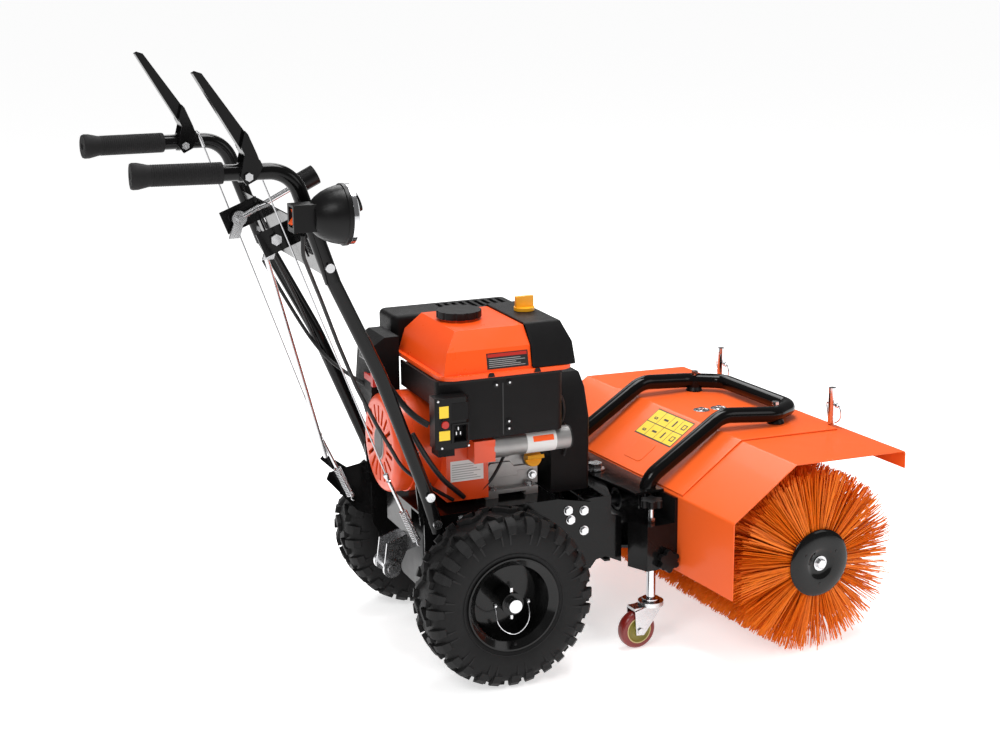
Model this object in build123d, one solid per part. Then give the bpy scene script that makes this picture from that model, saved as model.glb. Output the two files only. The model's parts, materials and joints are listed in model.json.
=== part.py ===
from build123d import *
import os
from math import asin, atan2, cos, hypot, pi, radians, sin

# Walk behind sweeper: a two-wheel tractor with an engine, and a swivelling brush head in front.
# Working frame, mm: +X forward, +Y left, +Z up, ground at Z = 0, wheel axle above X = 0.
# The finished model is moved so that its origin is the bottom centre of its box.

# Driving dimensions
TYRE_R, TYRE_HALF_W, WHEEL_Y = 165.0, 57.0, 238.5
RIM_R, AXLE_R, AXLE_END_Y = 89.0, 12.5, 302.0
FIT = 0.05  # radial running clearance
GAP = 0.4  # gap between parts that move past each other
PLATE = 4.0
PLATE_Y = 154.0  # outer faces of the chassis side plates
DECK_Z = 306.0  # top of the engine deck
CRANK_Z = 413.0
PULLEY_X, PULLEY_W = 202.0, 18.0
ENGINE_PULLEY_R, DRIVEN_PULLEY_R = 36.0, 54.0
SHAFT_Z, SHAFT_R = 235.0, 10.0
KINGPIN_X, KINGPIN_R = 300.0, 10.0
HEAD_YAW = 5.2  # head angle at rest, right end forward
BRUSH_U, BRUSH_V, BRUSH_R, BRUSH_HALF = 267.0, -24.0, 181.0, 361.0
CORE_R, HUB_DISC_R, BRUSH_SHAFT_R = 60.0, 66.4, 12.0
WAFERS, WAFER_T = 6, 12.0  # bristle rings on each half of the brush
HOOD_HALF, HOOD_T, PANEL_HALF, PANEL_T = 386.0, 2.0, 232.0, 3.0
BUMPER_R, BUMPER_Z = 15.5, 412.0
PIN_R, PIN_U, PIN_HALF, PIN_H = 7.5, 431.0, 197.0, 78.0
CASTOR_U, CASTOR_V, CASTOR_R, CASTOR_TRAIL = 10.0, 196.5, 37.5, 32.5
POST_R = 9.0
LOWER_BAR_R, UPPER_BAR_R, UPPER_BAR_BORE = 12.7, 14.0, 11.2
BAR_TOP_Z = 976.0
GRIP_R, GRIP_END_R = 18.5, 22.5
LEVER_PIVOT = (-449.0, 225.6, 972.0)
CONTROL_PIVOT_X, CONTROL_PIVOT_Z, CONTROL_Y = -375.0, 843.0, 115.0

SIDES = {"right": -1, "left": 1}
parts = {}


def box(x, y, z):
    """Box from its low and high value on each axis."""
    size = [high - low for low, high in (x, y, z)]
    centre = [(low + high) / 2 for low, high in (x, y, z)]
    return Pos(*centre) * Box(*size)


def rod(start, end, radius):
    """Round bar between two points."""
    axis = Vector(*end) - Vector(*start)
    place = Plane(origin=start, z_dir=axis).location
    return place * Cylinder(radius, axis.length, align=(Align.CENTER, Align.CENTER, Align.MIN))


def ring(start, end, outer, inner):
    """Round tube between two points."""
    return rod(start, end, outer) - rod(start, end, inner)


def side_plate(outline, y):
    """(x, z) outline thickened between two y values."""
    plane = Plane(origin=(0, max(y), 0), x_dir=(1, 0, 0), z_dir=(0, -1, 0))
    return extrude(plane * make_face(Polyline(*outline, close=True)), amount=max(y) - min(y))


def cross_plate(outline, x):
    """(y, z) outline thickened between two x values."""
    plane = Plane(origin=(min(x), 0, 0), x_dir=(0, 1, 0), z_dir=(1, 0, 0))
    return extrude(plane * make_face(Polyline(*outline, close=True)), amount=max(x) - min(x))


def flat_plate(outline, z):
    """(x, y) outline thickened between two z values."""
    plane = Plane(origin=(0, 0, min(z)))
    return extrude(plane * make_face(Polyline(*outline, close=True)), amount=max(z) - min(z))


def turned(outline, origin, axis, spoke):
    """Solid of revolution from (radius, distance along the axis) points."""
    normal = Vector(*spoke).cross(Vector(*axis))
    plane = Plane(origin=origin, x_dir=spoke, z_dir=normal)
    return revolve(plane * make_face(Polyline(*outline, close=True)), Axis(origin, axis), 360)


def bent_bar(points, bends, radius):
    """Round bar along straight runs joined by tangent arcs."""
    path = FilletPolyline(*points, radius=bends)
    return sweep(Plane(origin=path @ 0, z_dir=path % 0) * Circle(radius), path=path)


def hexagon(start, end, across):
    """Hexagonal bar between two points, such as a bolt head."""
    axis = Vector(*end) - Vector(*start)
    plane = Plane(origin=start, z_dir=axis)
    return extrude(plane * RegularPolygon(across / 2, 6, major_radius=False), amount=axis.length)


def star_knob(centre, axis, height):
    """Six-lobed hand knob."""
    shape = Circle(17) + [loc * Circle(6.5) for loc in PolarLocations(16, 6)]
    return extrude(Plane(origin=centre, z_dir=axis) * shape, amount=height)


def join(shapes):
    """One node from separate or touching solids."""
    shapes = list(shapes)
    whole = shapes[0]
    for shape in shapes[1:]:
        whole = whole + shape
    return whole


def group(shapes):
    """One node of solids that stay separate."""
    return Compound(children=[solid for shape in shapes for solid in shape.solids()])


def on_head(shape):
    """From the head's own frame, u forward and v left of the king-pin, to the working frame."""
    return Pos(KINGPIN_X, 0, 0) * Rot(0, 0, HEAD_YAW) * shape


# ---------------------------------------------------------------- wheels
def wheel(side, sign):
    middle = (0, sign * WHEEL_Y, TYRE_R)
    out, up = (0, sign, 0), (0, 0, 1)
    half, tread = TYRE_HALF_W, TYRE_R
    tyre = [(77, -42), (90, -52), (118, -half), (146, -half + 2), (160, -half + 12), (tread, -30)]
    tyre += [(radius, -along) for radius, along in reversed(tyre)]
    air = [(70, -34), (95, -40), (118, -46), (144, -44), (153, -36), (156, -25)]
    air += [(radius, -along) for radius, along in reversed(air)]
    parts[f"tyre_{side}"] = turned(tyre, middle, out, up) - turned(air, middle, out, up)
    web = -8
    rim = [(AXLE_R, -34), (21, -34), (21, web), (66, web), (73, web - 8), (73, -45), (86, -55)]
    rim += [(RIM_R, -55), (RIM_R, -53), (77, -42), (77, 42), (RIM_R, 53), (RIM_R, 55), (86, 55)]
    rim += [(73, 45), (73, web + 12), (66, web + 3), (21, web + 3), (21, 50), (AXLE_R, 50)]
    parts[f"rim_{side}"] = turned(rim, middle, out, up)
    inner, end = (0, sign * 14, TYRE_R), (0, sign * AXLE_END_Y, TYRE_R)
    pin_y = sign * (WHEEL_Y + 42)
    pin = rod((0, pin_y, TYRE_R - 30), (0, pin_y, TYRE_R + 30), 3.5)
    parts[f"half_axle_{side}"] = group([rod(inner, end, AXLE_R) - pin, pin])
    parts[f"rim_{side}"] -= pin


for name, sign in SIDES.items():
    wheel(name, sign)


# ---------------------------------------------------------------- chassis and hitch
def both_sides(make):
    return [make(sign) for sign in SIDES.values()]


bolt_places = [(204, 277), (171, 281), (176, 262), (204, 237), (-45, 293), (30, 293)]


def bolt(x, z, sign, y, across=13.0, inside=6.0):
    """Hexagon bolt whose washer seats on a side face at y."""
    shank = rod((x, sign * (y - inside), z), (x, sign * y, z), across * 0.3)
    washer = rod((x, sign * y, z), (x, sign * (y + 1.5), z), across * 0.72)
    head = hexagon((x, sign * (y + 1.5), z), (x, sign * (y + 6.5), z), across)
    return shank + washer + head


plate_outline = [(-120, DECK_Z), (-120, 205), (-78, 124), (70, 120), (150, 158), (219, 158)]
plate_outline += [(219, 292), (150, DECK_Z)]
hitch_outline = [(152, 290), (152, 172), (221, 158), (232, 172), (252, 176), (286, 160), (286, 252)]
hitch_outline += [(264, 260), (264, 297), (222, 297)]
chassis_bolts = group(bolt(x, z, sign, PLATE_Y) for x, z in bolt_places for sign in (-1, 1))
chassis = join(both_sides(lambda s: side_plate(plate_outline, (s * (PLATE_Y - PLATE), s * PLATE_Y))))
chassis += box((-118, 150), (-150, 150), (DECK_Z - PLATE, DECK_Z))
chassis += box((-116, -112), (-70, 70), (238, DECK_Z - PLATE))
chassis -= rod((0, -200, TYRE_R), (0, 200, TYRE_R), 30)
hitch = join(both_sides(lambda s: side_plate(hitch_outline, (s * 146, s * 150))))
tongue = [(252, -146), (264, -146), (300, -40), (322, -26), (322, 26), (300, 40), (264, 146), (252, 146)]
hitch += flat_plate(tongue, (293, 297))
hitch += flat_plate(tongue, (164, 168))
hitch += box((226, 230), (-146, 146), (180, 280))
hitch += ring((226, 0, SHAFT_Z), (246, 0, SHAFT_Z), 26, SHAFT_R + FIT)
hitch -= rod((220, 0, SHAFT_Z), (250, 0, SHAFT_Z), SHAFT_R + FIT)
kingpins = []
for low, high in ((284.0, 318.0), (146.0, 174.0)):
    shank = rod((KINGPIN_X, 0, low), (KINGPIN_X, 0, high), KINGPIN_R)
    kingpins.append(shank)
kingpins[0] += rod((KINGPIN_X, 0, 304), (KINGPIN_X, 0, 307), 19)
kingpins[0] += hexagon((KINGPIN_X, 0, 307), (KINGPIN_X, 0, 318), 26)
kingpins[1] += rod((KINGPIN_X, 0, 146), (KINGPIN_X, 0, 152), 17)
kingpin = group(kingpins)
hitch -= kingpin
chassis -= chassis_bolts
hitch -= chassis_bolts
parts["chassis_frame"] = chassis
parts["hitch_bracket"] = hitch


def axle_housing(sign):
    """Bearing housing of a half axle, held in the side plate."""
    flange = ring((0, sign * (PLATE_Y - PLATE), TYRE_R), (0, sign * 170, TYRE_R), 29.8, AXLE_R + FIT)
    return flange + ring((0, sign * PLATE_Y, TYRE_R), (0, sign * 160, TYRE_R), 38, AXLE_R + FIT)


case = box((-92, 112), (-64, 64), (112, 256))
case = fillet(case.edges().filter_by(Axis.Y), 24)
case += rod((0, -92, TYRE_R), (0, 92, TYRE_R), 34)
case += rod((-60, -80, 215), (-60, 80, 215), 30)
case -= rod((0, -100, TYRE_R), (0, 100, TYRE_R), AXLE_R + FIT)
case -= rod((80, 0, SHAFT_Z), (120, 0, SHAFT_Z), SHAFT_R + FIT)
shift_plate = [(-212, 304), (-206, 318), (-124, 332), (-100, DECK_Z), (-100, 210), (-150, 232)]
lug = side_plate(shift_plate, (PLATE_Y, PLATE_Y + 3))
tail = [(-92, 236), (-150, 218), (-158, 160), (-134, 150), (-110, 200), (-92, 204)]
bracket = side_plate(tail, (-24, -20)) + side_plate(tail, (20, 24))
bracket += box((-96, -92), (-24, 24), (206, 236))
bush_axis = [(-143, y, 168) for y in (-34, 34)]
bracket -= rod(*bush_axis, 9)
rear_bush = rod((-143, -34, 168), (-143, 34, 168), 9)
bush_caps = [ring((-143, s * 24, 168), (-143, s * 32, 168), 17, 9) for s in (-1, 1)]
rear_bush += join(bush_caps)
parts["transmission_case"] = group([case, *both_sides(axle_housing), bracket, rear_bush])


# ---------------------------------------------------------------- drive line
def grooved_pulley(z, radius, bore):
    half = PULLEY_W / 2
    side = [(bore, -half), (radius, -half), (radius - 9, -2.5), (radius - 9, 2.5), (radius, half)]
    return turned(side + [(bore, half)], (PULLEY_X, 0, z), (1, 0, 0), (0, 0, 1))


crankshaft = rod((-66, 0, CRANK_Z), (222, 0, CRANK_Z), 12)
flywheel_fan = ring((-64, 0, CRANK_Z), (-26, 0, CRANK_Z), 82, 12)
engine_pulley = grooved_pulley(CRANK_Z, ENGINE_PULLEY_R, 12)
parts["crankshaft"] = group([crankshaft, flywheel_fan, engine_pulley])
driven_pulley = grooved_pulley(SHAFT_Z, DRIVEN_PULLEY_R, SHAFT_R)
shaft = rod((84, 0, SHAFT_Z), (284, 0, SHAFT_Z), SHAFT_R)
CUP_R, BALL_R, NECK_R = 19.0, 13.0, 6.0
shaft += rod((268, 0, SHAFT_Z), (308, 0, SHAFT_Z), CUP_R)
shaft -= rod((284, 0, SHAFT_Z), (310, 0, SHAFT_Z), BALL_R + GAP)
parts["drive_shaft"] = group([shaft, driven_pulley])


def belt_run(inset, half):
    """Belt loop outline around both pulleys, at an inset from their rims."""
    big, small = DRIVEN_PULLEY_R - inset, ENGINE_PULLEY_R - inset
    span = CRANK_Z - SHAFT_Z
    lean = asin((big - small) / span)
    x = (PULLEY_X - half, PULLEY_X + half)
    loop = rod((x[0], 0, SHAFT_Z), (x[1], 0, SHAFT_Z), big)
    loop += rod((x[0], 0, CRANK_Z), (x[1], 0, CRANK_Z), small)
    low = (big * cos(lean), SHAFT_Z + big * sin(lean))
    high = (small * cos(lean), CRANK_Z + small * sin(lean))
    return loop + cross_plate([low, high, (-high[0], high[1]), (-low[0], low[1])], x)


parts["drive_belt"] = belt_run(1.0, 2.2) - belt_run(8.5, 3.0)


# ---------------------------------------------------------------- engine
def loft_box(low, high, z):
    """Box tapering from one (x, y) rectangle to another."""
    faces = []
    for (x, y), level in zip((low, high), z):
        corner = Pos((x[0] + x[1]) / 2, (y[0] + y[1]) / 2, level)
        faces.append(corner * Rectangle(x[1] - x[0], y[1] - y[0]))
    return loft(faces)


crankcase = box((24, 132), (-100, 88), (DECK_Z, 322))
crankcase += box((22, 138), (-84, 80), (322, 466))
crankcase += rod((138, 0, CRANK_Z), (152, 0, CRANK_Z), 46)
crankcase -= rod((20, 0, CRANK_Z), (160, 0, CRANK_Z), 12 + FIT)
crankcase -= box((50, 106), (-104, -60), (DECK_Z - 1, 314))
DIPSTICK = ((122, -84, 372), (0, -0.94, 0.34))
parts["engine_crankcase"] = crankcase
tilt = Pos(0, 0, CRANK_Z) * Rot(24, 0, 0)
fins = box((30, 118), (84, 146), (-36, 50))
for step in range(6):
    fins += box((22, 126), (88 + 10 * step, 92 + 10 * step), (-44, 58))
cylinder = tilt * fins - box((0, 200), (0, 80), (300, 466)) - box((0, 200), (0, 200), (300, 322))
cylinder -= box((0, 200), (-200, 300), (534, 700))
head_cover = tilt * box((30, 118), (146, 164), (-30, 44))

housing = rod((-112, 0, CRANK_Z), (22, 0, CRANK_Z), 97)
housing += box((-62, 22), (-120, 97), (318, 420))
housing -= rod((-140, 0, CRANK_Z), (-22, 0, CRANK_Z), 90)
housing -= rod((-30, 0, CRANK_Z), (30, 0, CRANK_Z), 14)
housing -= box((-200, 200), (-200, 200), (200, DECK_Z + 1))
parts["blower_housing"] = housing
cover = rod((-152, 0, CRANK_Z), (-112, 0, CRANK_Z), 95)
cover = fillet(cover.edges().sort_by(Axis.X)[0], 14)
cover -= rod((-146, 0, CRANK_Z), (-112, 0, CRANK_Z), 86)
for step in range(18):
    turn = Pos(0, 0, CRANK_Z) * Rot(20 * step, 0, 0)
    cover -= turn * box((-156, -140), (-4, 4), (40, 74))
parts["recoil_cover"] = cover

TANK_BASE = ((-78, 176), (-158, 88))
TANK_WAIST = ((-68, 172), (-150, 80))
TANK_TOP = ((-40, 158), (-118, 60))
tank = box((-86, 182), (-166, 94), (562, 570))
tank = fillet(tank.edges().filter_by(Axis.Z), 30)
tank_body = loft_box(TANK_BASE, TANK_WAIST, (570, 612)) + loft_box(TANK_WAIST, TANK_TOP, (612, 644))
tank += tank_body
tank += rod((6, -20, 640), (6, -20, 648), 36)
base, waist, top = [[(a + 3, b - 3) for a, b in rect] for rect in (TANK_BASE, TANK_WAIST, TANK_TOP)]
tank -= loft_box(base, waist, (566, 612))
tank -= loft_box(waist, top, (612, 641))
tank -= rod((6, -20, 620), (6, -20, 650), 26)
parts["fuel_tank"] = tank
CAP = (6, -20, 648.4)
cap = rod(CAP, (6, -20, 662), 43) + rod((6, -20, 630), CAP, 25.6)
for step in range(12):
    angle = 2 * pi * step / 12
    place = (6 + 45 * cos(angle), -20 + 45 * sin(angle))
    cap -= rod((*place, 640), (*place, 670), 4)
parts["fuel_cap"] = cap
end_cover = loft_box(((96, 184), (-164, 94)), ((96, 180), (-156, 86)), (570, 612))
end_cover += loft_box(((96, 180), (-156, 86)), ((96, 168), (-126, 68)), (612, 648))
end_cover -= tank_body
KNOB = (140, -20, 648.4)
parts["tank_end_cover"] = end_cover
wing = rod(KNOB, (140, -20, 655), 20) + box((122, 158), (-24, -16), (655, 676))
parts["wing_knob"] = wing

side_cover = box((-92, 160), (-160, -124), (446, 562))
side_cover = fillet(side_cover.edges().filter_by(Axis.Z), 14)
side_cover -= box((-84, 152), (-154, -120), (440, 556))
side_cover += box((-92, -60), (-160, -124), (420, 446))
side_cover += box((-92, -88), (-146, 40), (512, 561))
parts["engine_side_cover"] = side_cover
SWITCH_X, SWITCH_Z = (-108, -42), (444, 540)
switch_box = box(SWITCH_X, (-196, -160), SWITCH_Z)
switch_box = chamfer(switch_box.edges().filter_by(Axis.Z).sort_by(Axis.Y)[:2], 8)
BUTTON = (-92, 492)
switch_box -= rod((BUTTON[0], -198, BUTTON[1]), (BUTTON[0], -182, BUTTON[1]), 7.4)
switch_box -= box((-74, -50), (-198, -178), (458, 488))
parts["starter_switch_box"] = switch_box
parts["starter_button"] = rod((BUTTON[0], -201, BUTTON[1]), (BUTTON[0], -186, BUTTON[1]), 7)

START_Y, START_Z, START_R = -134, 422, 22
motor = rod((54, START_Y, START_Z), (182, START_Y, START_Z), START_R)
motor = fillet(motor.edges().sort_by(Axis.X)[-1], 4)
nose = rod((20, START_Y, START_Z), (54, START_Y, START_Z), 23.5) + box((-20, 22), (-157, -121), (398, 440))
parts["starter_motor"] = group([motor, nose - parts["blower_housing"] - side_cover])
DIP_DIR = Vector(*DIPSTICK[1]).normalized()
dip_start = Vector(*DIPSTICK[0])
dip_hole = rod(tuple(dip_start - DIP_DIR * 40), tuple(dip_start + DIP_DIR * 20), 9 + FIT)
neck = rod(tuple(dip_start - DIP_DIR * 12), tuple(dip_start + DIP_DIR * 12), 15)
parts["engine_crankcase"] = group([parts["engine_crankcase"] + neck - dip_hole, cylinder, head_cover])
dipstick = rod(tuple(dip_start - DIP_DIR * 36), tuple(dip_start + DIP_DIR * 12.4), 9)
dipstick += rod(tuple(dip_start + DIP_DIR * 12.4), tuple(dip_start + DIP_DIR * 19), 17)
DIP_WING = Plane(origin=tuple(dip_start + DIP_DIR * 19), x_dir=(1, 0, 0), z_dir=tuple(DIP_DIR))
dipstick += DIP_WING.location * Pos(0, 0, 7) * Box(34, 7, 14)
parts["dipstick"] = dipstick

guard = box((-84, 186), (102, 196), (560, 632))
guard = fillet(guard.edges().filter_by(Axis.Z), 16)
guard = fillet(guard.edges().group_by(Axis.Z)[-1], 10)
guard -= box((-76, 178), (110, 188), (550, 624))
for step in range(9):
    guard -= box((30 + 16 * step, 38 + 16 * step), (122, 176), (620, 640))
parts["muffler_guard"] = guard
heater = side_plate([(-148, 500), (-140, 590), (-118, 604), (-90, 604), (-90, 420), (-120, 400)], (52, 150))
heater -= rod((-160, 0, CRANK_Z), (-80, 0, CRANK_Z), 98)
parts["heater_box"] = heater
THROTTLE = (-150, 66, 530)
stem = rod((-151.2, 66, 530), (-147, 66, 530), 4)
throttle = stem + box((-155.2, -151.2), (6, 72), (524, 536)) + box((-163.2, -151.2), (-4, 8), (524, 552))
parts["heater_box"] = heater - rod((-152, 66, 530), (-138, 66, 530), 4 + GAP)
parts["throttle_lever"] = throttle - heater + rod((-151.2, 66, 530), (-140, 66, 530), 4)

belt_outline = [(-88, 284), (88, 284), (92, 440), (70, 500), (44, 524), (-44, 524), (-70, 500), (-92, 440)]
belt_cover = cross_plate(belt_outline, (164, 246))
belt_cover = fillet(belt_cover.edges().group_by(Axis.X)[-1], 8)
inner = [(y * 0.95, 280 if z < 300 else min(z, 519) - 3) for y, z in belt_outline]
belt_cover -= cross_plate(inner, (168, 241))
belt_cover -= rod((150, 0, CRANK_Z), (170, 0, CRANK_Z), 16)
parts["belt_cover"] = belt_cover - box((160, 300), (-200, 200), (270, 297.6))

# ---------------------------------------------------------------- handle
LOWER_PATH = [(-97, 163, 280), (-121, 163, 365), (-211, 192, 596), (-305, 223, 786)]
UPPER_PATH = [(-302, 222, 778), (-371, 231, BAR_TOP_Z), (-632, 213, 980)]


def mirrored(point, sign):
    return (point[0], sign * point[1], point[2])


def along(start, end, distance):
    """Point at a distance from start towards end."""
    line = Vector(*end) - Vector(*start)
    return tuple(Vector(*start) + line.normalized() * distance)


def lower_bar(sign):
    points = [mirrored(p, sign) for p in LOWER_PATH]
    bar = bent_bar(points, [250, 500], LOWER_BAR_R)
    return bar


def upper_bar(sign):
    points = [mirrored(p, sign) for p in UPPER_PATH]
    return bent_bar(points, [56], UPPER_BAR_R)


def bar_spigot(sign):
    """Reduced end of the lower bar inside the upper bar."""
    foot, corner = [mirrored(p, sign) for p in UPPER_PATH[:2]]
    return rod(along(foot, corner, -2), along(foot, corner, 60), UPPER_BAR_BORE)


def handle_bolt(point, sign, reach, across=16.0):
    x, y, z = point
    shank = rod((x, sign * (y - reach), z), (x, sign * (y + reach), z), 4.0)
    head = rod((x, sign * (y + reach), z), (x, sign * (y + reach + 6), z), across / 2)
    nut = hexagon((x, sign * (y - reach - 6), z), (x, sign * (y - reach), z), across * 0.8)
    return shank + head + nut


uppers = both_sides(upper_bar)
spigots = both_sides(bar_spigot)
uppers = [bar - spigot for bar, spigot in zip(uppers, spigots)]
lowers = [bar - upper for bar, upper in zip(both_sides(lower_bar), both_sides(upper_bar))]
lowers = [bar + spigot for bar, spigot in zip(lowers, spigots)]
joint_bolts = [handle_bolt((-312, 223.5, 806), s, 15.2) for s in SIDES.values()]
foot_bolts = []
for x, z in ((-103, 298), (-116, 352)):
    for sign in SIDES.values():
        shank = rod((x, sign * 146, z), (x, sign * 176, z), 4.0)
        foot_bolts.append(shank + rod((x, sign * 176, z), (x, sign * 182, z), 8.5))
handle_bolts = group(joint_bolts + foot_bolts)
ear_outline = [(-126, 290), (-88, 290), (-88, 306), (-104, 370), (-134, 370)]
ears = join(both_sides(lambda s: side_plate(ear_outline, (s * 146, s * 150))))
parts["handle_lower_tubes"] = group(lowers) - handle_bolts
frame = parts["chassis_frame"] + ears + (lug - chassis_bolts)
parts["chassis_frame"] = frame - handle_bolts - group(lowers)


def grip(sign):
    bar_end = mirrored(UPPER_PATH[2], sign)
    corner = mirrored(UPPER_PATH[1], sign)
    start = along(corner, bar_end, 116)
    mouth = along(corner, bar_end, 240)
    tip = along(corner, bar_end, 268)
    body = rod(start, tip, GRIP_R) + rod(mouth, tip, GRIP_END_R)
    return body - bent_bar([mirrored(p, sign) for p in UPPER_PATH], [56], UPPER_BAR_R)


parts["handle_grips"] = group(both_sides(grip))

# Control panel plate between the bars, with the lever brackets on it
panel = side_plate([(-306, 782), (-344, 880), (-342, 881), (-304, 783)], (-207, 207))
parts["control_panel"] = panel - group(both_sides(upper_bar)) - handle_bolts


def tilted_block(x, y, z, size):
    """Block that leans back with the handle."""
    return Pos(x, y, z) * Rot(0, -21, 0) * Box(*size)


def lever_bracket(sign):
    y = sign * (CONTROL_Y + 14)
    block = tilted_block(-366, y, 846, (76, 4, 44)) + tilted_block(-330, y + sign * 10, 832, (4, 24, 44))
    return block


brackets = both_sides(lever_bracket)
pivots = []
for sign in SIDES.values():
    tip, seat, cap_end = [
        (CONTROL_PIVOT_X, sign * (CONTROL_Y + offset), CONTROL_PIVOT_Z) for offset in (-10, 16, 23)
    ]
    pivots.append(rod(tip, seat, 5) + hexagon(seat, cap_end, 18))
lever_brackets = group(brackets) - group(pivots) - parts["control_panel"]


def control_lever(sign, knob_end):
    """Lever arm on the pivot, its rod forward through the panel to a barrel knob."""
    y = sign * CONTROL_Y
    hub = (CONTROL_PIVOT_X, y, CONTROL_PIVOT_Z)
    plate = rod((hub[0], y - 4, hub[2]), (hub[0], y + 4, hub[2]), 14)
    start = along(hub, knob_end, 8)
    rest = along(hub, knob_end, 120)
    arm = rod(start, rest, 5.5)
    tail = side_plate([(-385, 838), (-366, 838), (-376, 806), (-396, 806)], (y - 3, y + 3))
    bore = rod((hub[0], y - 20, hub[2]), (hub[0], y + 20, hub[2]), 5 + FIT)
    knob = rod(along(hub, knob_end, 118), along(hub, knob_end, 166), 19)
    return plate + arm + tail - bore, knob - rod(start, rest, 5.5)


KNOB_ENDS = {"right": (-205, -CONTROL_Y, 902), "left": (-212, CONTROL_Y, 922)}
for name, sign in SIDES.items():
    lever, knob = control_lever(sign, KNOB_ENDS[name])
    parts[f"control_lever_{name}"] = group([lever, knob])
lever_slots = [box((-360, -296), (s * CONTROL_Y - 9, s * CONTROL_Y + 9), (832, 940)) for s in (-1, 1)]
slots = join(lever_slots)
parts["control_panel"] = group([parts["control_panel"] - slots, lever_brackets - slots])

# ---------------------------------------------------------------- clutch levers, wires, springs
PIVOT_X, PIVOT_Y, PIVOT_Z = LEVER_PIVOT
LEVER_TILT = atan2(172, 83)  # lever above the horizontal, pointing back


def lever_point(reach, lift):
    """(x, z) at a reach along the lever from its pivot and a lift in front of it."""
    x = PIVOT_X - reach * cos(LEVER_TILT) + lift * sin(LEVER_TILT)
    return (x, PIVOT_Z + reach * sin(LEVER_TILT) + lift * cos(LEVER_TILT))


def clutch_lever(sign):
    y = sign * PIVOT_Y
    ear = [lever_point(-12, -9), lever_point(-12, 10), lever_point(2, 30), lever_point(14, 31)]
    ear += [lever_point(34, 16), lever_point(34, 12), lever_point(6, -12)]
    body = side_plate(ear, (y - 21, y - 18)) + side_plate(ear, (y + 18, y + 21))
    web = [lever_point(30, 12), lever_point(30, 16), lever_point(44, 16), lever_point(44, 12)]
    body += side_plate(web, (y - 21, y + 21))
    blade = [lever_point(44, 12), lever_point(44, 16), lever_point(190, 4), lever_point(190, 1)]
    body += side_plate(blade, (y - 10, y + 10))
    flange = [lever_point(36, 14), lever_point(40, 29), lever_point(60, 33), lever_point(184, 14)]
    flange += [lever_point(190, 8), lever_point(190, 2), lever_point(44, 13)]
    body += side_plate(flange, (y - 10, y - 7.5)) + side_plate(flange, (y + 7.5, y + 10))
    body -= rod((PIVOT_X, y - 30, PIVOT_Z), (PIVOT_X, y + 30, PIVOT_Z), 4 + FIT)
    return body


def lever_pin(sign):
    y = sign * PIVOT_Y
    pin = rod((PIVOT_X, y - 23, PIVOT_Z), (PIVOT_X, y + 23, PIVOT_Z), 4)
    pin += hexagon((PIVOT_X, y - 28, PIVOT_Z), (PIVOT_X, y - 23, PIVOT_Z), 13)
    return pin + hexagon((PIVOT_X, y + 23, PIVOT_Z), (PIVOT_X, y + 28, PIVOT_Z), 13)


lever_pins = both_sides(lever_pin)
for (name, sign), pin in zip(SIDES.items(), lever_pins):
    parts[f"clutch_lever_{name}"] = clutch_lever(sign)
clamps = []
for sign in SIDES.values():
    start = along(mirrored(UPPER_PATH[1], sign), mirrored(UPPER_PATH[2], sign), 66)
    stop = along(mirrored(UPPER_PATH[1], sign), mirrored(UPPER_PATH[2], sign), 90)
    clamps.append(rod(start, stop, 16.4) - upper_bar(sign) - group(lever_pins))
upper_bars = [bar - handle_bolts - group(lever_pins) for bar in uppers]
parts["frame_bolts"] = group([chassis_bolts, kingpin, handle_bolts, *pivots, *lever_pins])

WIRE_TOPS = {"right": (-424, -194, 992), "left": (-424, 194, 992)}
WIRE_ENDS = {"right": (-174, -104, 378), "left": (-226, 142, 400)}
HOOKS = {"right": (-108, -104, 222), "left": (-150, 142, 232)}
SPRING = (78, 146)  # start and end of a spring, from its eye towards its hook
wire_ways = {}
for name in SIDES:
    top, eye = WIRE_TOPS[name], WIRE_ENDS[name]
    wire_ways[name] = tuple((Vector(*top) - Vector(*eye)).normalized())
    wire = rod(eye, top, 1.6) + Pos(*top) * Sphere(4.5)
    wire += rod(along(eye, HOOKS[name], -6), along(eye, HOOKS[name], SPRING[0]), 3.5)
    spring = rod(along(eye, HOOKS[name], SPRING[0]), along(eye, HOOKS[name], SPRING[1]), 8.0)
    wire += rod(along(eye, HOOKS[name], SPRING[1]), along(eye, HOOKS[name], 156), 2.0)
    parts[f"clutch_wire_{name}"] = group([wire, spring])

ROD_TOP, ROD_FOOT = (-386, -100, 812), (-214, 146, 350)
parts["shift_rod"] = rod(ROD_TOP, along(ROD_FOOT, ROD_TOP, 6), 4.5)
SHIFT_PIVOT = (-170, 160, 310)
arm = side_plate([(-222, 346), (-212, 356), (-164, 320), (-160, 308), (-170, 299), (-182, 306)], (159, 163))
parts["shift_arm"] = arm + rod((-170, 157.4, 310), (-170, 166, 310), 7)

# ---------------------------------------------------------------- headlight
LAMP = (-352, -290, 905)
lamp_axis = (1, 0, 0)
shell = [(0, -8), (26, -8), (34, 0), (41, 11), (46, 23), (49, 34), (50.5, 42), (50.5, 50)]
shell += [(46, 50), (42, 40), (24, 4), (0, 4)]
shell = turned(shell, (-347, -290, 905), lamp_axis, (0, 0, 1))
lamp_box = box((-392, -352), (-308, -272), (882, 928))
lamp_box -= box((-393, -378), (-301, -279), (890, 924))
lamp_room = [(0, -8), (26, -8), (34, 0), (41, 11), (41, 60), (0, 60)]
lamp_box -= turned(lamp_room, (-347, -290, 905), lamp_axis, (0, 0, 1))
lamp_box -= rod((-382, -303, 907), (-382, -277, 907), 2 + FIT)
lamp_box -= rod((-369, -277, 905), (-369, -271, 905), 3 + FIT)
lamp_ring = ring((-297, -290, 905), (-289, -290, 905), 51, 44)
lens = [(0, 0), (44, 0), (44, 8), (34, 15), (18, 19), (0, 20)]
lamp_lens = turned(lens, (-297, -290, 905), lamp_axis, (0, 0, 1))
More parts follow.
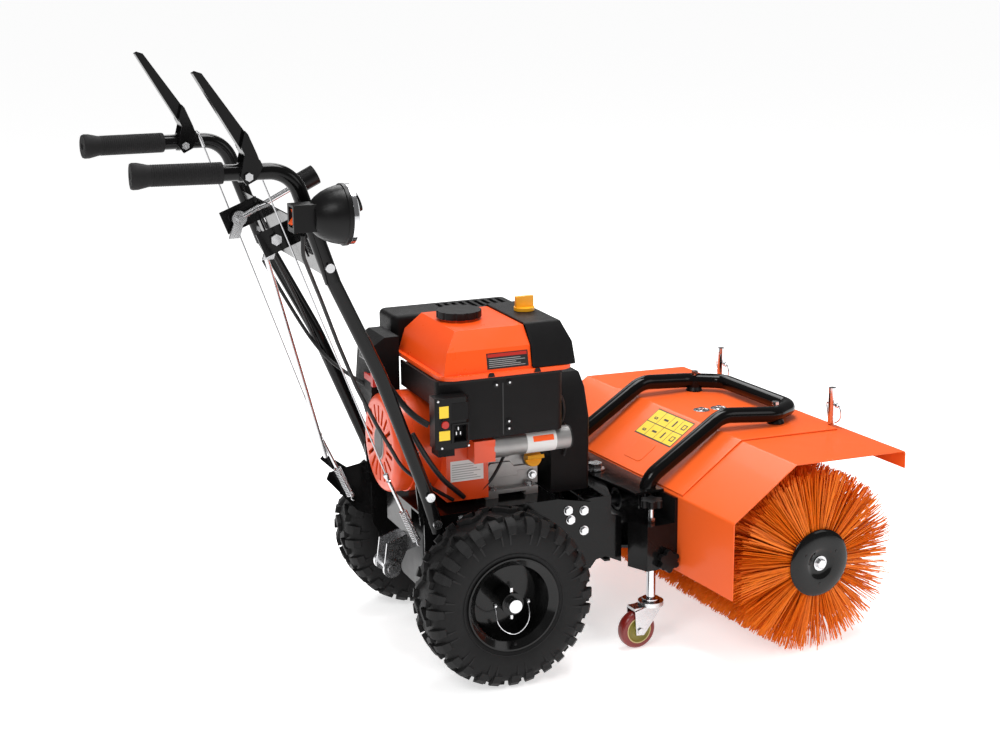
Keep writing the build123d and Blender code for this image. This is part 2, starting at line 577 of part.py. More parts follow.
parts["lamp_housing"] = group([shell + lamp_box, lamp_ring, lamp_lens])
rocker = [(-382, 896), (-382, 918), (-388, 919), (-385, 907), (-394, 895)]
parts["lamp_rocker"] = side_plate(rocker, (-300, -280)) + rod((-382, -302, 907), (-382, -278, 907), 2)
lamp_arm = box((-380, -358), (-271.6, -246), (899, 911)) + rod((-369, -276, 905), (-369, -270, 905), 3)
lamp_bracket = lamp_arm + box((-380, -352), (-252, -246), (892, 918)) - upper_bar(-1)
parts["handle_upper_bars"] = group([*upper_bars, *clamps, lamp_bracket])

# Cables that the machine holds all the way
lamp_route = [(-372, -290, 874), (-372, -286, 840), (-352, -262, 800), (-318, -208, 740), (-284, -180, 660)]
lamp_route += [(-246, -164, 570), (-204, -146, 490), (-170, -138, 430)]
parts["lamp_cable"] = bent_bar(lamp_route, [40, 60, 80, 120, 160, 160], 3.5)

# ---------------------------------------------------------------- brush head
hood_outline = [(53, 150), (54, 300), (191, 393), (446, 383), (446, 348)]


def inset_outline(outline, depth):
    """Offsets an open bent-sheet profile to its inner side."""
    lines = []
    for (x0, z0), (x1, z1) in zip(outline, outline[1:]):
        length = hypot(x1 - x0, z1 - z0)
        nx, nz = (z1 - z0) / length, -(x1 - x0) / length
        start = (x0 + nx * depth, z0 + nz * depth)
        stop = (x1 + nx * depth, z1 + nz * depth)
        lines.append((start, (x1 - x0, z1 - z0), stop))
    result = [lines[0][0]]
    for (p, d, _), (q, e, _) in zip(lines, lines[1:]):
        cross = d[0] * e[1] - d[1] * e[0]
        t = ((q[0] - p[0]) * e[1] - (q[1] - p[1]) * e[0]) / cross
        result.append((p[0] + t * d[0], p[1] + t * d[1]))
    return result + [lines[-1][2]]


def bent_sheet(outline, thickness, v):
    inner_side = inset_outline(outline, thickness)
    return side_plate(list(outline) + inner_side[::-1], v)


hood = bent_sheet(hood_outline, HOOD_T, (BRUSH_V - HOOD_HALF, BRUSH_V + HOOD_HALF))
hood -= rod((40, 0, SHAFT_Z), (70, 0, SHAFT_Z), 25)
PANEL_END_U, PANEL_FOOT_U = 420, 58
slope_foot = 300 + (PANEL_FOOT_U - 54) * 93 / 137
panel_outline = [(PANEL_FOOT_U, slope_foot), (191, 393), (PANEL_END_U, 393 - 10 * (PANEL_END_U - 191) / 255)]
raised = inset_outline(panel_outline, -PANEL_T)
centre_panel = side_plate(panel_outline + raised[::-1], (-PANEL_HALF, PANEL_HALF))

bumper_half = [(28, 150, 262), (28, 150, 318), (200, 150, 424), (320, 158, BUMPER_Z)]
bumper_half += [(386, 120, BUMPER_Z - 2)]
bumper_points = bumper_half + [(u, -v, z) for u, v, z in reversed(bumper_half)]
bumper = bent_bar(bumper_points, [45, 60, 60, 40, 40, 60, 60, 45], BUMPER_R)
spacer_places = [(330, 146), (330, -146)]


def top_z(u):
    """Height of the raised panel's upper face."""
    return 393 + PANEL_T - 10 * (u - 191) / 255


spacers, bumper_bolts = [], []
for u, v in spacer_places:
    spacers.append(rod((u, v, top_z(u) - 1), (u, v, BUMPER_Z), 12) - bumper - centre_panel)
    stem = rod((u, v, BUMPER_Z + 10), (u, v, BUMPER_Z + 17), 5)
    bumper_bolts.append(stem + hexagon((u, v, BUMPER_Z + 16), (u, v, BUMPER_Z + 22), 13) - bumper)

back_plate = box((47, 53), (-222, 222), (159, 298)) - rod((40, 0, SHAFT_Z), (60, 0, SHAFT_Z), 24)
top_outline = [(-22, -34), (-12, -140), (-12, -172), (53, -172), (53, 172), (-12, 172), (-12, 140), (-22, 34)]
pin_bores = rod((0, 0, 100), (0, 0, 330), KINGPIN_R + FIT)
top_plate = flat_plate(top_outline, (298, 303)) - pin_bores - bumper
bottom_plate = flat_plate([(-26, -30), (53, -80), (53, 80), (-26, 30)], (153, 159)) - pin_bores
head_plates = [back_plate - bumper, top_plate, bottom_plate]


def castor_bracket(sign):
    v = [sign * value for value in (176, 222)]
    body = box((-14, 47), (min(v), max(v)), (160, 249))
    wedge = [(-30, sign * 176), (-14, sign * 176), (-14, sign * 222)]
    body += flat_plate(wedge, (160, 249))
    v = [sign * value for value in (180, 218)]
    body -= box((-10, 47), (min(v), max(v)), (164, 245))
    place = (CASTOR_U, sign * CASTOR_V)
    body += rod((*place, 160), (*place, 249), 14)
    body -= rod((*place, 150), (*place, 260), POST_R + FIT)
    return body + ring((*place, 241), (*place, 249), 14, 5 + FIT)


def castor(side, sign):
    place = (CASTOR_U, sign * CASTOR_V)
    post = rod((*place, 93), (*place, 208), POST_R) + rod((*place, 91), (*place, 96), 17)
    post -= rod((*place, 120), (*place, 210), 6)
    parts[f"castor_post_{side}"] = on_head(post)
    fork = rod((*place, 82), (*place, 90.6), 25)
    u0 = CASTOR_U - CASTOR_TRAIL
    cheeks = [(CASTOR_U + 20, 84), (CASTOR_U - 22, 84), (u0 - 12, 78), (u0 - 9, 30), (u0 + 8, 28)]
    for offset in (-1, 1):
        y = sign * CASTOR_V + offset * 14
        fork += side_plate(cheeks, (y, y + offset * 2.5))
    fork += box((u0 - 12, CASTOR_U + 20), (place[1] - 14, place[1] + 14), (78.5, 84))
    axle = (u0, place[1] - 20, CASTOR_R), (u0, place[1] + 20, CASTOR_R)
    fork += rod(*axle, 4)
    fork += hexagon((u0, place[1] - 20, CASTOR_R), (u0, place[1] - 16.5, CASTOR_R), 12)
    fork += hexagon((u0, place[1] + 16.5, CASTOR_R), (u0, place[1] + 20, CASTOR_R), 12)
    parts[f"castor_fork_{side}"] = on_head(fork)
    roll = [(4 + FIT, -12), (30, -12), (34, -11), (CASTOR_R, -6), (CASTOR_R, 6), (34, 11), (30, 12)]
    roll.append((4 + FIT, 12))
    roll = turned(roll, (u0, place[1], CASTOR_R), (0, 1, 0), (0, 0, 1))
    parts[f"castor_wheel_{side}"] = on_head(roll)
    height_knob = star_knob((*place, 281), (0, 0, 1), 14) + rod((*place, 214), (*place, 281), 5)
    height_knob += hexagon((*place, 250), (*place, 258), 13)
    out = (0, sign, 0)
    clamp = star_knob((27, sign * 226, 178), out, 12)
    clamp += rod((27, sign * 206, 178), (27, sign * 226, 178), 4)
    return [height_knob, clamp]


clamp_holes = rod((27, -240, 178), (27, 240, 178), 4 + FIT)
castor_brackets = [bracket - clamp_holes for bracket in both_sides(castor_bracket)]
parts["head_frame"] = on_head(group([*head_plates, *castor_brackets]))
knobs = castor("right", -1) + castor("left", 1)

collector_pins, linch_pins = [], []
PIN_BASE = 383.6
for sign in (-1, 1):
    v = sign * PIN_HALF
    base = rod((PIN_U, v, 370), (PIN_U, v, PIN_BASE + PIN_H), PIN_R)
    base += rod((PIN_U, v, 366), (PIN_U, v, 381), 12)
    cross = rod((PIN_U, v - 20, 428), (PIN_U, v + 14, 428), 2.5)
    collector_pins.append(base - cross)
    linch_pins.append(cross + rod((PIN_U, v - 22, 428), (PIN_U, v - 16, 428), 5))
hood -= group(collector_pins)
hood -= group(both_sides(lambda s: rod((PIN_U, s * PIN_HALF, 364), (PIN_U, s * PIN_HALF, 381), 12)))
gearbox = box((224, 310), (-34, 34), (128, 268))
gearbox = fillet(gearbox.edges().filter_by(Axis.Y), 14)
gearbox += rod((53, 0, SHAFT_Z), (226, 0, SHAFT_Z), 23.8)
gearbox += rod((49, 0, SHAFT_Z), (53, 0, SHAFT_Z), 23.8)
gearbox -= rod((30, 0, SHAFT_Z), (226, 0, SHAFT_Z), 17)
gearbox -= rod((200, 0, SHAFT_Z), (300, 0, SHAFT_Z), SHAFT_R + FIT)
gearbox += ring((56, 0, SHAFT_Z), (70, 0, SHAFT_Z), 17, SHAFT_R + FIT)
gearbox -= rod((BRUSH_U, -40, BRUSH_R), (BRUSH_U, 40, BRUSH_R), BRUSH_SHAFT_R + FIT)
parts["hood"] = on_head(hood)
parts["hood_centre_panel"] = on_head(centre_panel - group(collector_pins))
parts["bumper_tube"] = on_head(bumper)
parts["head_fasteners"] = on_head(group([*spacers, *bumper_bolts, *knobs]))
parts["collector_pins"] = on_head(group([*collector_pins, *linch_pins]))
parts["worm_gearbox"] = on_head(gearbox)
input_shaft = Pos(0, 0, SHAFT_Z) * Sphere(BALL_R)
input_shaft += rod((8, 0, SHAFT_Z), (30, 0, SHAFT_Z), NECK_R)
input_shaft += rod((30, 0, SHAFT_Z), (296, 0, SHAFT_Z), SHAFT_R)
parts["gearbox_input_shaft"] = on_head(input_shaft)

brush_low, brush_high = BRUSH_V - BRUSH_HALF, BRUSH_V + BRUSH_HALF
cores, bristles, discs = [], [], []
for low, high in ((brush_low, -38), (38, brush_high)):
    ends = (BRUSH_U, low, BRUSH_R), (BRUSH_U, high, BRUSH_R)
    core = ring(*ends, CORE_R, CORE_R - 2.5)
    for v in (low, high - 4):
        core += ring((BRUSH_U, v, BRUSH_R), (BRUSH_U, v + 4, BRUSH_R), CORE_R - 2.5, BRUSH_SHAFT_R)
    cores.append(core)
    pitch = (high - low - WAFER_T) / (WAFERS - 1)
    for step in range(WAFERS):
        v = low + step * pitch
        bristles.append(ring((BRUSH_U, v, BRUSH_R), (BRUSH_U, v + WAFER_T, BRUSH_R), BRUSH_R, CORE_R))
for v, out in ((brush_low, -1), (brush_high, 1)):
    dish = [(BRUSH_SHAFT_R, 0), (HUB_DISC_R, 0), (HUB_DISC_R, 3), (52, 8), (30, 8), (24, 4)]
    dish.append((BRUSH_SHAFT_R, 4))
    discs.append(turned(dish, (BRUSH_U, v, BRUSH_R), (0, out, 0), (0, 0, 1)))
parts["bristles"] = on_head(group(bristles))
shaft_ends = (BRUSH_U, brush_low - 7, BRUSH_R), (BRUSH_U, brush_high + 7, BRUSH_R)
brush_shaft = rod(*shaft_ends, BRUSH_SHAFT_R)
brush_shaft += hexagon((BRUSH_U, brush_low - 15, BRUSH_R), (BRUSH_U, brush_low - 7, BRUSH_R), 19)
brush_shaft += hexagon((BRUSH_U, brush_high + 7, BRUSH_R), (BRUSH_U, brush_high + 15, BRUSH_R), 19)
parts["brush_shaft"] = on_head(group([brush_shaft, *cores, *discs]))

# ---------------------------------------------------------------- export
boxes = [shape.bounding_box() for shape in parts.values()]
low_corner = [min(getattr(b.min, axis) for b in boxes) for axis in "XYZ"]
high_corner = [max(getattr(b.max, axis) for b in boxes) for axis in "XYZ"]
SHIFT = (
    -(low_corner[0] + high_corner[0]) / 2,
    -(low_corner[1] + high_corner[1]) / 2,
    -low_corner[2],
)
os.makedirs("parts", exist_ok=True)
for name, shape in parts.items():
    export_step(Pos(*SHIFT) * shape, f"parts/{name}.step")
print(len(parts), "nodes, shift", [round(value, 3) for value in SHIFT])
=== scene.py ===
import json
import math
import random

import bmesh
import bpy
from mathutils import Matrix, Vector

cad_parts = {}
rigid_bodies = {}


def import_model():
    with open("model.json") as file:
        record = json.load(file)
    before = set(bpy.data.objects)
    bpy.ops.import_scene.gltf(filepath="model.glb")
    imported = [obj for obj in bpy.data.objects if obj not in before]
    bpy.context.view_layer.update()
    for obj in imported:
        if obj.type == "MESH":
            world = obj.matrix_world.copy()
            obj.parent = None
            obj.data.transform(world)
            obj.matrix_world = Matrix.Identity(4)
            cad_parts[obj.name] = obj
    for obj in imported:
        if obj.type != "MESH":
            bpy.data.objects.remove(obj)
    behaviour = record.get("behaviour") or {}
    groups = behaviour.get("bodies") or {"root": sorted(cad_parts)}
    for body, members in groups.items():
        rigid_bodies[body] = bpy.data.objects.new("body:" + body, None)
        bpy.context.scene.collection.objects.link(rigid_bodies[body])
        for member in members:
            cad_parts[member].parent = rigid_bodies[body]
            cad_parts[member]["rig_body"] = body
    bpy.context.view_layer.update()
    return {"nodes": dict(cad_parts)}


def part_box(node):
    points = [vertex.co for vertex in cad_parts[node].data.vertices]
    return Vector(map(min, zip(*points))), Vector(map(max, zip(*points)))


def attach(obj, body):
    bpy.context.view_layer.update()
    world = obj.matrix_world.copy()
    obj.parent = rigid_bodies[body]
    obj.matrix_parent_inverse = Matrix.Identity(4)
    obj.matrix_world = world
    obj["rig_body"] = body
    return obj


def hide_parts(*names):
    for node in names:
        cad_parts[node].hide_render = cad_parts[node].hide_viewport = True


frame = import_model()

# The machine's own frame in millimetres: x forward, y left, origin on the ground below the wheel axle.
right_tyre, left_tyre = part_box("tyre_right"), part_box("tyre_left")
ORIGIN = Vector(((right_tyre[0].x + right_tyre[1].x) / 2, (right_tyre[0].y + left_tyre[1].y) / 2, 0))
SIDES = {"right": -1, "left": 1}
AXLE_Z, HALF_TRACK = 165, 238.5
CRANK_Z = 413
CRANKCASE_Y = -84
SIDE_COVER_Y = -160
SWITCH_BOX_Y = -196
STARTER_Y, STARTER_Z = -134, 422
LAMP_Y, LAMP_Z = -290, 905
# The head's frame: u forward and v left of the king-pin.
KINGPIN_X = 300
HEAD_YAW = math.radians(5.2)
SHAFT_Z, SHAFT_HOLE_RADIUS = 235, 25
CASTOR_U, CASTOR_V, CASTOR_Z = -22.5, 196.5, 37.5
COLLECTOR_V = 197
# The hood's corners in (u, z), its ends and its raised panel's ends in v, and that panel's height.
HOOD_FOOT, HOOD_CREST, HOOD_FRONT = (54, 300), (191, 393), (446, 383)
HOOD_ENDS, PANEL_ENDS, PANEL_LIFT = (-410, 362), (-232, 232), 3
BRUSH_U, BRUSH_Z = 267, 181
BRUSH_ENDS, BRUSH_HALVES = (-385, 337), ((39, 298), (-385, 347))
BRISTLE_COUNT, BRISTLE_RINGS, BRISTLE_TUFTS = 14000, 13, 76
BRISTLE_ROOT, BRISTLE_MIDDLE, BRISTLE_TIP = 60, 122, 181
# The camera solved from the photograph: degrees, machine millimetres, lens millimetres.
CAMERA_TURN = (-22.1796, 14.1824, 0.6282)
CAMERA_PLACE = (-1250.4, -3304.6, 1421.6)
CAMERA_LENS = 68.59
SKY, SKY_REFLECTED, FLOOR_GLOW = 0.42, 0.16, 0.6
rng = random.Random(11)


def at(x, y, z):
    """Machine millimetres to scene metres."""
    return ORIGIN + Vector((x, y, z)) / 1000


def head(u, v, z):
    """Head millimetres, u forward and v left of the king-pin, to scene metres."""
    c, s = math.cos(HEAD_YAW), math.sin(HEAD_YAW)
    return at(KINGPIN_X + u * c - v * s, u * s + v * c, z)


# ---- camera, light, floor
def make_camera():
    """Camera at the photograph's viewing angle."""
    azimuth, pitch, roll = (math.radians(degrees) for degrees in CAMERA_TURN)
    forward = Vector((-math.sin(azimuth) * math.cos(pitch), math.cos(azimuth) * math.cos(pitch),
                      -math.sin(pitch)))
    level = Vector((math.cos(azimuth), math.sin(azimuth), 0))
    down = forward.cross(level)
    side = level * math.cos(roll) + down * math.sin(roll)
    low = down * math.cos(roll) - level * math.sin(roll)
    camera = bpy.data.objects.new("camera", bpy.data.cameras.new("camera"))
    bpy.context.scene.collection.objects.link(camera)
    turn = Matrix((side, -low, -forward)).transposed().to_4x4()
    camera.matrix_world = Matrix.Translation(at(*CAMERA_PLACE)) @ turn
    camera.data.sensor_width = 36
    camera.data.lens = CAMERA_LENS
    camera.data.clip_end = 200
    bpy.context.scene.camera = camera


def make_stage():
    """Pale floor, even sky and four soft lights."""
    world = bpy.data.worlds.new("studio")
    world.use_nodes = True
    nodes, links = world.node_tree.nodes, world.node_tree.links
    sky = nodes["Background"].inputs
    sky["Color"].default_value = (1, 1, 1, 1)
    # even soft light, dimmer as a reflection so that black paint stays black
    seen = nodes.new("ShaderNodeLightPath")
    strength = nodes.new("ShaderNodeMapRange")
    strength.inputs["To Min"].default_value = SKY
    strength.inputs["To Max"].default_value = SKY_REFLECTED
    links.new(seen.outputs["Is Glossy Ray"], strength.inputs["Value"])
    links.new(strength.outputs["Result"], sky["Strength"])
    bpy.context.scene.world = world
    bpy.context.scene.view_settings.view_transform = "Standard"
    lights = [
        ("key", (-2.6, -2.8, 3.6), 1.6, 70),
        ("fill", (2.8, -2.6, 2.4), 1.6, 16),
        ("back", (0.8, 3.0, 3.2), 2.0, 50),
        ("top", (0.3, 0.2, 3.6), 1.7, 98),
    ]
    for name, place, size, power in lights:
        data = bpy.data.lights.new(name, "AREA")
        data.size, data.energy = size, power
        lamp = bpy.data.objects.new(name, data)
        bpy.context.scene.collection.objects.link(lamp)
        lamp.location = place
        lamp.rotation_euler = (Vector((0, 0, 0.45)) - Vector(place)).to_track_quat("-Z", "Y").to_euler()
    bpy.ops.mesh.primitive_plane_add(size=60, location=(0, 0, -0.0005))
    floor = bpy.context.object
    floor.name = "floor"
    paper = shade("floor", (0.93, 0.93, 0.93), 0.85, vary=0.01, bump=0.0)
    glow = paper.node_tree.nodes["Principled BSDF"].inputs
    glow["Emission Color"].default_value = (1, 1, 1, 1)
    glow["Emission Strength"].default_value = FLOOR_GLOW
    floor.data.materials.append(paper)


# ---- materials
def linear(rgb):
    """0-255 screen colour to scene colour."""
    return tuple((c / 255 / 12.92) if c < 10 else ((c / 255 + 0.055) / 1.055) ** 2.4 for c in rgb)


def shade(name, color, rough, metal=0.0, coat=0.0, vary=0.12, bump=0.06, grain=900.0, blotch=14.0,
          spread=0.08, wear=0.0, stretch=(1, 1, 1), specular=0.5):
    """Procedural material: drifting colour and roughness, fine grain and, if asked, worn edges."""
    made = bpy.data.materials.new(name)
    made.use_nodes = True
    nodes, links = made.node_tree.nodes, made.node_tree.links
    shader = nodes["Principled BSDF"]
    for socket, value in (("Metallic", metal), ("Coat Weight", coat), ("Coat Roughness", 0.06),
                          ("Specular IOR Level", specular)):
        shader.inputs[socket].default_value = value
    where = nodes.new("ShaderNodeTexCoord")
    scale = nodes.new("ShaderNodeMapping")
    scale.inputs["Scale"].default_value = stretch
    links.new(where.outputs["Object"], scale.inputs["Vector"])

    def noise(size, detail):
        node = nodes.new("ShaderNodeTexNoise")
        node.inputs["Scale"].default_value = size
        node.inputs["Detail"].default_value = detail
        links.new(scale.outputs["Vector"], node.inputs["Vector"])
        return node.outputs["Fac"]

    drift = noise(blotch, 5)
    mix = nodes.new("ShaderNodeMix")
    mix.data_type = "RGBA"
    mix.inputs["A"].default_value = (*[c * (1 - vary) for c in color], 1)
    mix.inputs["B"].default_value = (*[min(1, c * (1 + vary) + vary * 0.004) for c in color], 1)
    links.new(drift, mix.inputs["Factor"])
    tint = mix.outputs["Result"]
    if wear:
        edge = nodes.new("ShaderNodeNewGeometry")
        ramp = nodes.new("ShaderNodeMapRange")
        ramp.inputs["From Min"].default_value = 0.56
        ramp.inputs["From Max"].default_value = 0.68
        ramp.inputs["To Max"].default_value = wear
        links.new(edge.outputs["Pointiness"], ramp.inputs["Value"])
        worn = nodes.new("ShaderNodeMix")
        worn.data_type = "RGBA"
        worn.inputs["B"].default_value = (*[min(1, c * 0.5 + 0.07) for c in color], 1)
        links.new(ramp.outputs["Result"], worn.inputs["Factor"])
        links.new(tint, worn.inputs["A"])
        tint = worn.outputs["Result"]
    links.new(tint, shader.inputs["Base Color"])
    sheen = nodes.new("ShaderNodeMapRange")
    sheen.inputs["To Min"].default_value = max(0.03, rough - spread)
    sheen.inputs["To Max"].default_value = min(1, rough + spread)
    links.new(noise(blotch * 3.7, 6), sheen.inputs["Value"])
    links.new(sheen.outputs["Result"], shader.inputs["Roughness"])
    if bump:
        relief = nodes.new("ShaderNodeBump")
        relief.inputs["Strength"].default_value = bump
        relief.inputs["Distance"].default_value = 0.001
        links.new(noise(grain, 3), relief.inputs["Height"])
        links.new(relief.outputs["Normal"], shader.inputs["Normal"])
    return made


make_camera()
ORANGE = shade("orange_powder_coat", linear((240, 98, 40)), 0.32, coat=0.1, vary=0.05, bump=0.05,
               grain=260, blotch=5, specular=0.22)
TANK = shade("orange_tank_paint", linear((246, 84, 24)), 0.30, coat=0.14, vary=0.05, bump=0.02,
             grain=300, blotch=6, specular=0.24)
HOUSING = shade("orange_housing_paint", linear((222, 70, 14)), 0.36, coat=0.2, vary=0.12, bump=0.08,
                grain=500)
GLOSS = shade("black_gloss_paint", (0.003, 0.0029, 0.003), 0.14, coat=0.08, specular=0.16, vary=0.3,
              bump=0.04, grain=240, wear=0.06)
RIM = shade("black_rim_paint", (0.004, 0.004, 0.004), 0.14, coat=0.14, specular=0.2, vary=0.3, bump=0.03,
            grain=200)
PLASTIC = shade("black_moulded_plastic", (0.006, 0.0057, 0.006), 0.46, vary=0.2, bump=0.3, grain=1500,
                wear=0.05, specular=0.13)
SATIN = shade("black_satin_plastic", (0.005, 0.0048, 0.005), 0.34, specular=0.17, vary=0.2, bump=0.12,
              grain=900, wear=0.06)
GRIP = shade("grip_rubber", (0.011, 0.0106, 0.011), 0.66, specular=0.16, vary=0.2, bump=0.35, grain=1300)
TYRE = shade("tyre_rubber", (0.008, 0.0078, 0.008), 0.54, specular=0.15, vary=0.3, bump=0.35, grain=520,
             blotch=22, wear=0.12)
ZINC = shade("zinc_plate", (0.62, 0.62, 0.63), 0.26, metal=1.0, vary=0.12, bump=0.02, grain=420,
             blotch=40, spread=0.08)
CHROME = shade("chrome_plate", (0.70, 0.70, 0.72), 0.12, metal=1.0, vary=0.06, bump=0.02, grain=300,
               spread=0.05)
ALLOY = shade("cast_alloy", (0.36, 0.355, 0.35), 0.44, metal=0.85, vary=0.15, bump=0.5, grain=700,
              blotch=30)
DARKCAST = shade("painted_casting", (0.045, 0.045, 0.046), 0.42, vary=0.25, bump=0.15, grain=800,
                 specular=0.35)
STEEL = shade("machined_steel", (0.45, 0.45, 0.46), 0.3, metal=1.0, vary=0.1, bump=0.1, grain=300,
              stretch=(1, 8, 8))
YELLOW = shade("yellow_plastic", linear((245, 172, 28)), 0.34, vary=0.08, bump=0.05)
RED = shade("red_plastic", linear((176, 30, 18)), 0.36, vary=0.1, bump=0.05)
ROCKER = shade("rocker_orange", linear((255, 92, 24)), 0.34, vary=0.06, bump=0.03)
CABLE = shade("cable_sheath", (0.009, 0.0088, 0.009), 0.42, specular=0.3, vary=0.25, bump=0.1)
BRISTLE = shade("bristle_strand", linear((240, 116, 22)), 0.44, vary=0.30, bump=0.05, blotch=120,
                specular=0.18)
CORE = shade("brush_core", linear((150, 52, 8)), 0.7, vary=0.3, bump=0.3)
TREAD = shade("castor_tread", linear((122, 26, 20)), 0.34, coat=0.2, vary=0.1, bump=0.05)
HUB = shade("castor_hub", linear((128, 118, 44)), 0.42, vary=0.15, bump=0.1)
TAN = shade("castor_ring", linear((196, 178, 122)), 0.4, vary=0.1, bump=0.05)
LABEL = shade("label_yellow", linear((238, 200, 36)), 0.34, vary=0.05, bump=0.02)
INK = shade("label_black", (0.012, 0.012, 0.012), 0.36, vary=0.1, bump=0.02)
WHITE = shade("label_white", (0.72, 0.72, 0.71), 0.38, vary=0.04, bump=0.02)
GREY = shade("label_grey", (0.34, 0.34, 0.34), 0.4, vary=0.08, bump=0.02)
LENS = shade("lamp_lens", (0.42, 0.44, 0.46), 0.16, metal=0.45, coat=0.6, vary=0.18, bump=0.35, grain=240,
             stretch=(0.1, 1, 0.15))
make_stage()


# ---- mesh helpers
def adopt(obj, body, replaces):
    """Ties a piece to its body and the CAD nodes that it stands for."""
    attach(obj, body)
    if replaces:
        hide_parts(*replaces)


def soften(obj, angle, bevel):
    """Smooth shading with sharp edges, and rounded edges if a bevel is given."""
    if bevel:
        mod = obj.modifiers.new("rounded_edges", "BEVEL")
        mod.width, mod.segments = bevel / 1000, 2
        mod.limit_method, mod.angle_limit = "ANGLE", math.radians(angle)
        mod.harden_normals = True
    obj.data.shade_smooth()
    obj.data.set_sharp_from_angle(angle=math.radians(angle))


class Builder:
    """Collects several shapes into one mesh, with a material for each."""

    def __init__(self):
        self.verts, self.faces, self.marks, self.materials = [], [], [], []

    def add(self, verts, faces, material):
        if material not in self.materials:
            self.materials.append(material)
        start = len(self.verts)
        self.verts += [Vector(v) for v in verts]
        self.faces += [tuple(start + i for i in f) for f in faces]
        self.marks += [self.materials.index(material)] * len(faces)

    def piece(self, name, body, replaces=(), bevel=0.0, angle=38):
        """Makes the mesh a piece of the scene, with its normals turned outward."""
        data = bpy.data.meshes.new(name)
        data.from_pydata([tuple(v) for v in self.verts], [], self.faces)
        bm = bmesh.new()
        bm.from_mesh(data)
        bmesh.ops.recalc_face_normals(bm, faces=bm.faces)
        bm.to_mesh(data)
        bm.free()
        for material in self.materials:
            data.materials.append(material)
        obj = bpy.data.objects.new(name, data)
        bpy.context.scene.collection.objects.link(obj)
        soften(obj, angle, bevel)
        adopt(obj, body, replaces)
        for polygon, mark in zip(data.polygons, self.marks):
            polygon.material_index = mark


def frame_of(axis):
    """An axis and two directions square to it."""
    axis = Vector(axis).normalized()
    side = axis.orthogonal().normalized()
    return axis, side, axis.cross(side)


def full_turn(count):
    """Evenly spaced angles around a circle."""
    return [2 * math.pi * k / count for k in range(count)]


def corners_of(x, y):
    """The four corners of a rectangle from its limits."""
    return (x[0], y[0]), (x[1], y[0]), (x[1], y[1]), (x[0], y[1])


def lathe(profile, origin, axis, segments):
    """Turned shape from (radius, distance) in mm about an axis."""
    axis, side, other = frame_of(axis)
    verts, faces, n = [], [], len(profile)
    for angle in full_turn(segments):
        spoke = side * math.cos(angle) + other * math.sin(angle)
        verts += [origin + spoke * r / 1000 + axis * t / 1000 for r, t in profile]
    for step in range(segments):
        a, b = step * n, (step + 1) % segments * n
        faces += [(a + i, a + (i + 1) % n, b + (i + 1) % n, b + i) for i in range(n)]
    return verts, faces


def extruded(outline, thickness):
    """Closed outline of scene points moved by a thickness vector."""
    n = len(outline)
    verts = list(outline) + [p + thickness for p in outline]
    faces = [tuple(range(n)), tuple(range(2 * n - 1, n - 1, -1))]
    faces += [(i, (i + 1) % n, n + (i + 1) % n, n + i) for i in range(n)]
    return verts, faces


def swept(points, radius, sides, closed=False):
    """Round tube through scene points."""
    verts, faces, n = [], [], len(points)
    normal = None
    for i, p in enumerate(points):
        ahead = points[(i + 1) % n] if closed or i < n - 1 else p
        behind = points[i - 1] if closed or i > 0 else p
        way = (ahead - behind).normalized()
        if normal is None:
            normal = way.orthogonal().normalized()
        normal = (normal - way * normal.dot(way)).normalized()
        other = way.cross(normal)
        for angle in full_turn(sides):
            verts.append(p + (normal * math.cos(angle) + other * math.sin(angle)) * radius / 1000)
    for i in range(n if closed else n - 1):
        a, b = i * sides, (i + 1) % n * sides
        faces += [(a + k, a + (k + 1) % sides, b + (k + 1) % sides, b + k) for k in range(sides)]
    if not closed:
        faces += [tuple(range(sides)), tuple(range((n - 1) * sides, n * sides))]
    return verts, faces


def nurbs(points):
    """Points along a smooth curve that has the given control points."""
    data = bpy.data.curves.new("route", "CURVE")
    data.dimensions, data.resolution_u = "3D", 10
    spline = data.splines.new("NURBS")
    spline.points.add(len(points) - 1)
    for point, place in zip(spline.points, points):
        point.co = (*place, 1)
    spline.order_u, spline.use_endpoint_u = 3, True
    carrier = bpy.data.objects.new("route", data)
    mesh = bpy.data.meshes.new_from_object(carrier)
    route = [v.co.copy() for v in mesh.vertices]
    bpy.data.objects.remove(carrier)
    bpy.data.meshes.remove(mesh)
    return route


def rounded(points, radius):
    """Open 2-D profile with arcs in place of its corners."""
    steps, result = 5, [points[0]]
    for before, corner, after in zip(points, points[1:], points[2:]):
        c = Vector(corner)
        a, b = (Vector(before) - c).normalized(), (Vector(after) - c).normalized()
        half = a.angle(b) / 2
        reach = min(radius / math.tan(half), (Vector(before) - c).length / 2,
                    (Vector(after) - c).length / 2)
        start, stop = c + a * reach, c + b * reach
        for step in range(steps + 1):
            t = step / steps
            result.append(tuple(start * (1 - t) ** 2 + c * 2 * t * (1 - t) + stop * t * t))
    return result + [points[-1]]


def rounded_box(x, y, radius):
    """Outline of a rectangle with round corners, counter-clockwise."""
    steps, points = 5, []
    for corner, (a, b) in enumerate(((1, 1), (0, 1), (0, 0), (1, 0))):
        middle_x = x[a] - radius if a else x[a] + radius
        middle_y = y[b] - radius if b else y[b] + radius
        for step in range(steps):
            turn = math.pi / 2 * (corner + step / (steps - 1))
            points.append((middle_x + radius * math.cos(turn), middle_y + radius * math.sin(turn)))
    return points


def offset(profile, distance):
    """Open 2-D profile moved square to itself."""
    moved = []
    for i, p in enumerate(profile):
        a, b = Vector(profile[max(i - 1, 0)]), Vector(profile[min(i + 1, len(profile) - 1)])
        d = (b - a).normalized()
        moved.append((p[0] + d.y * distance, p[1] - d.x * distance))
    return moved


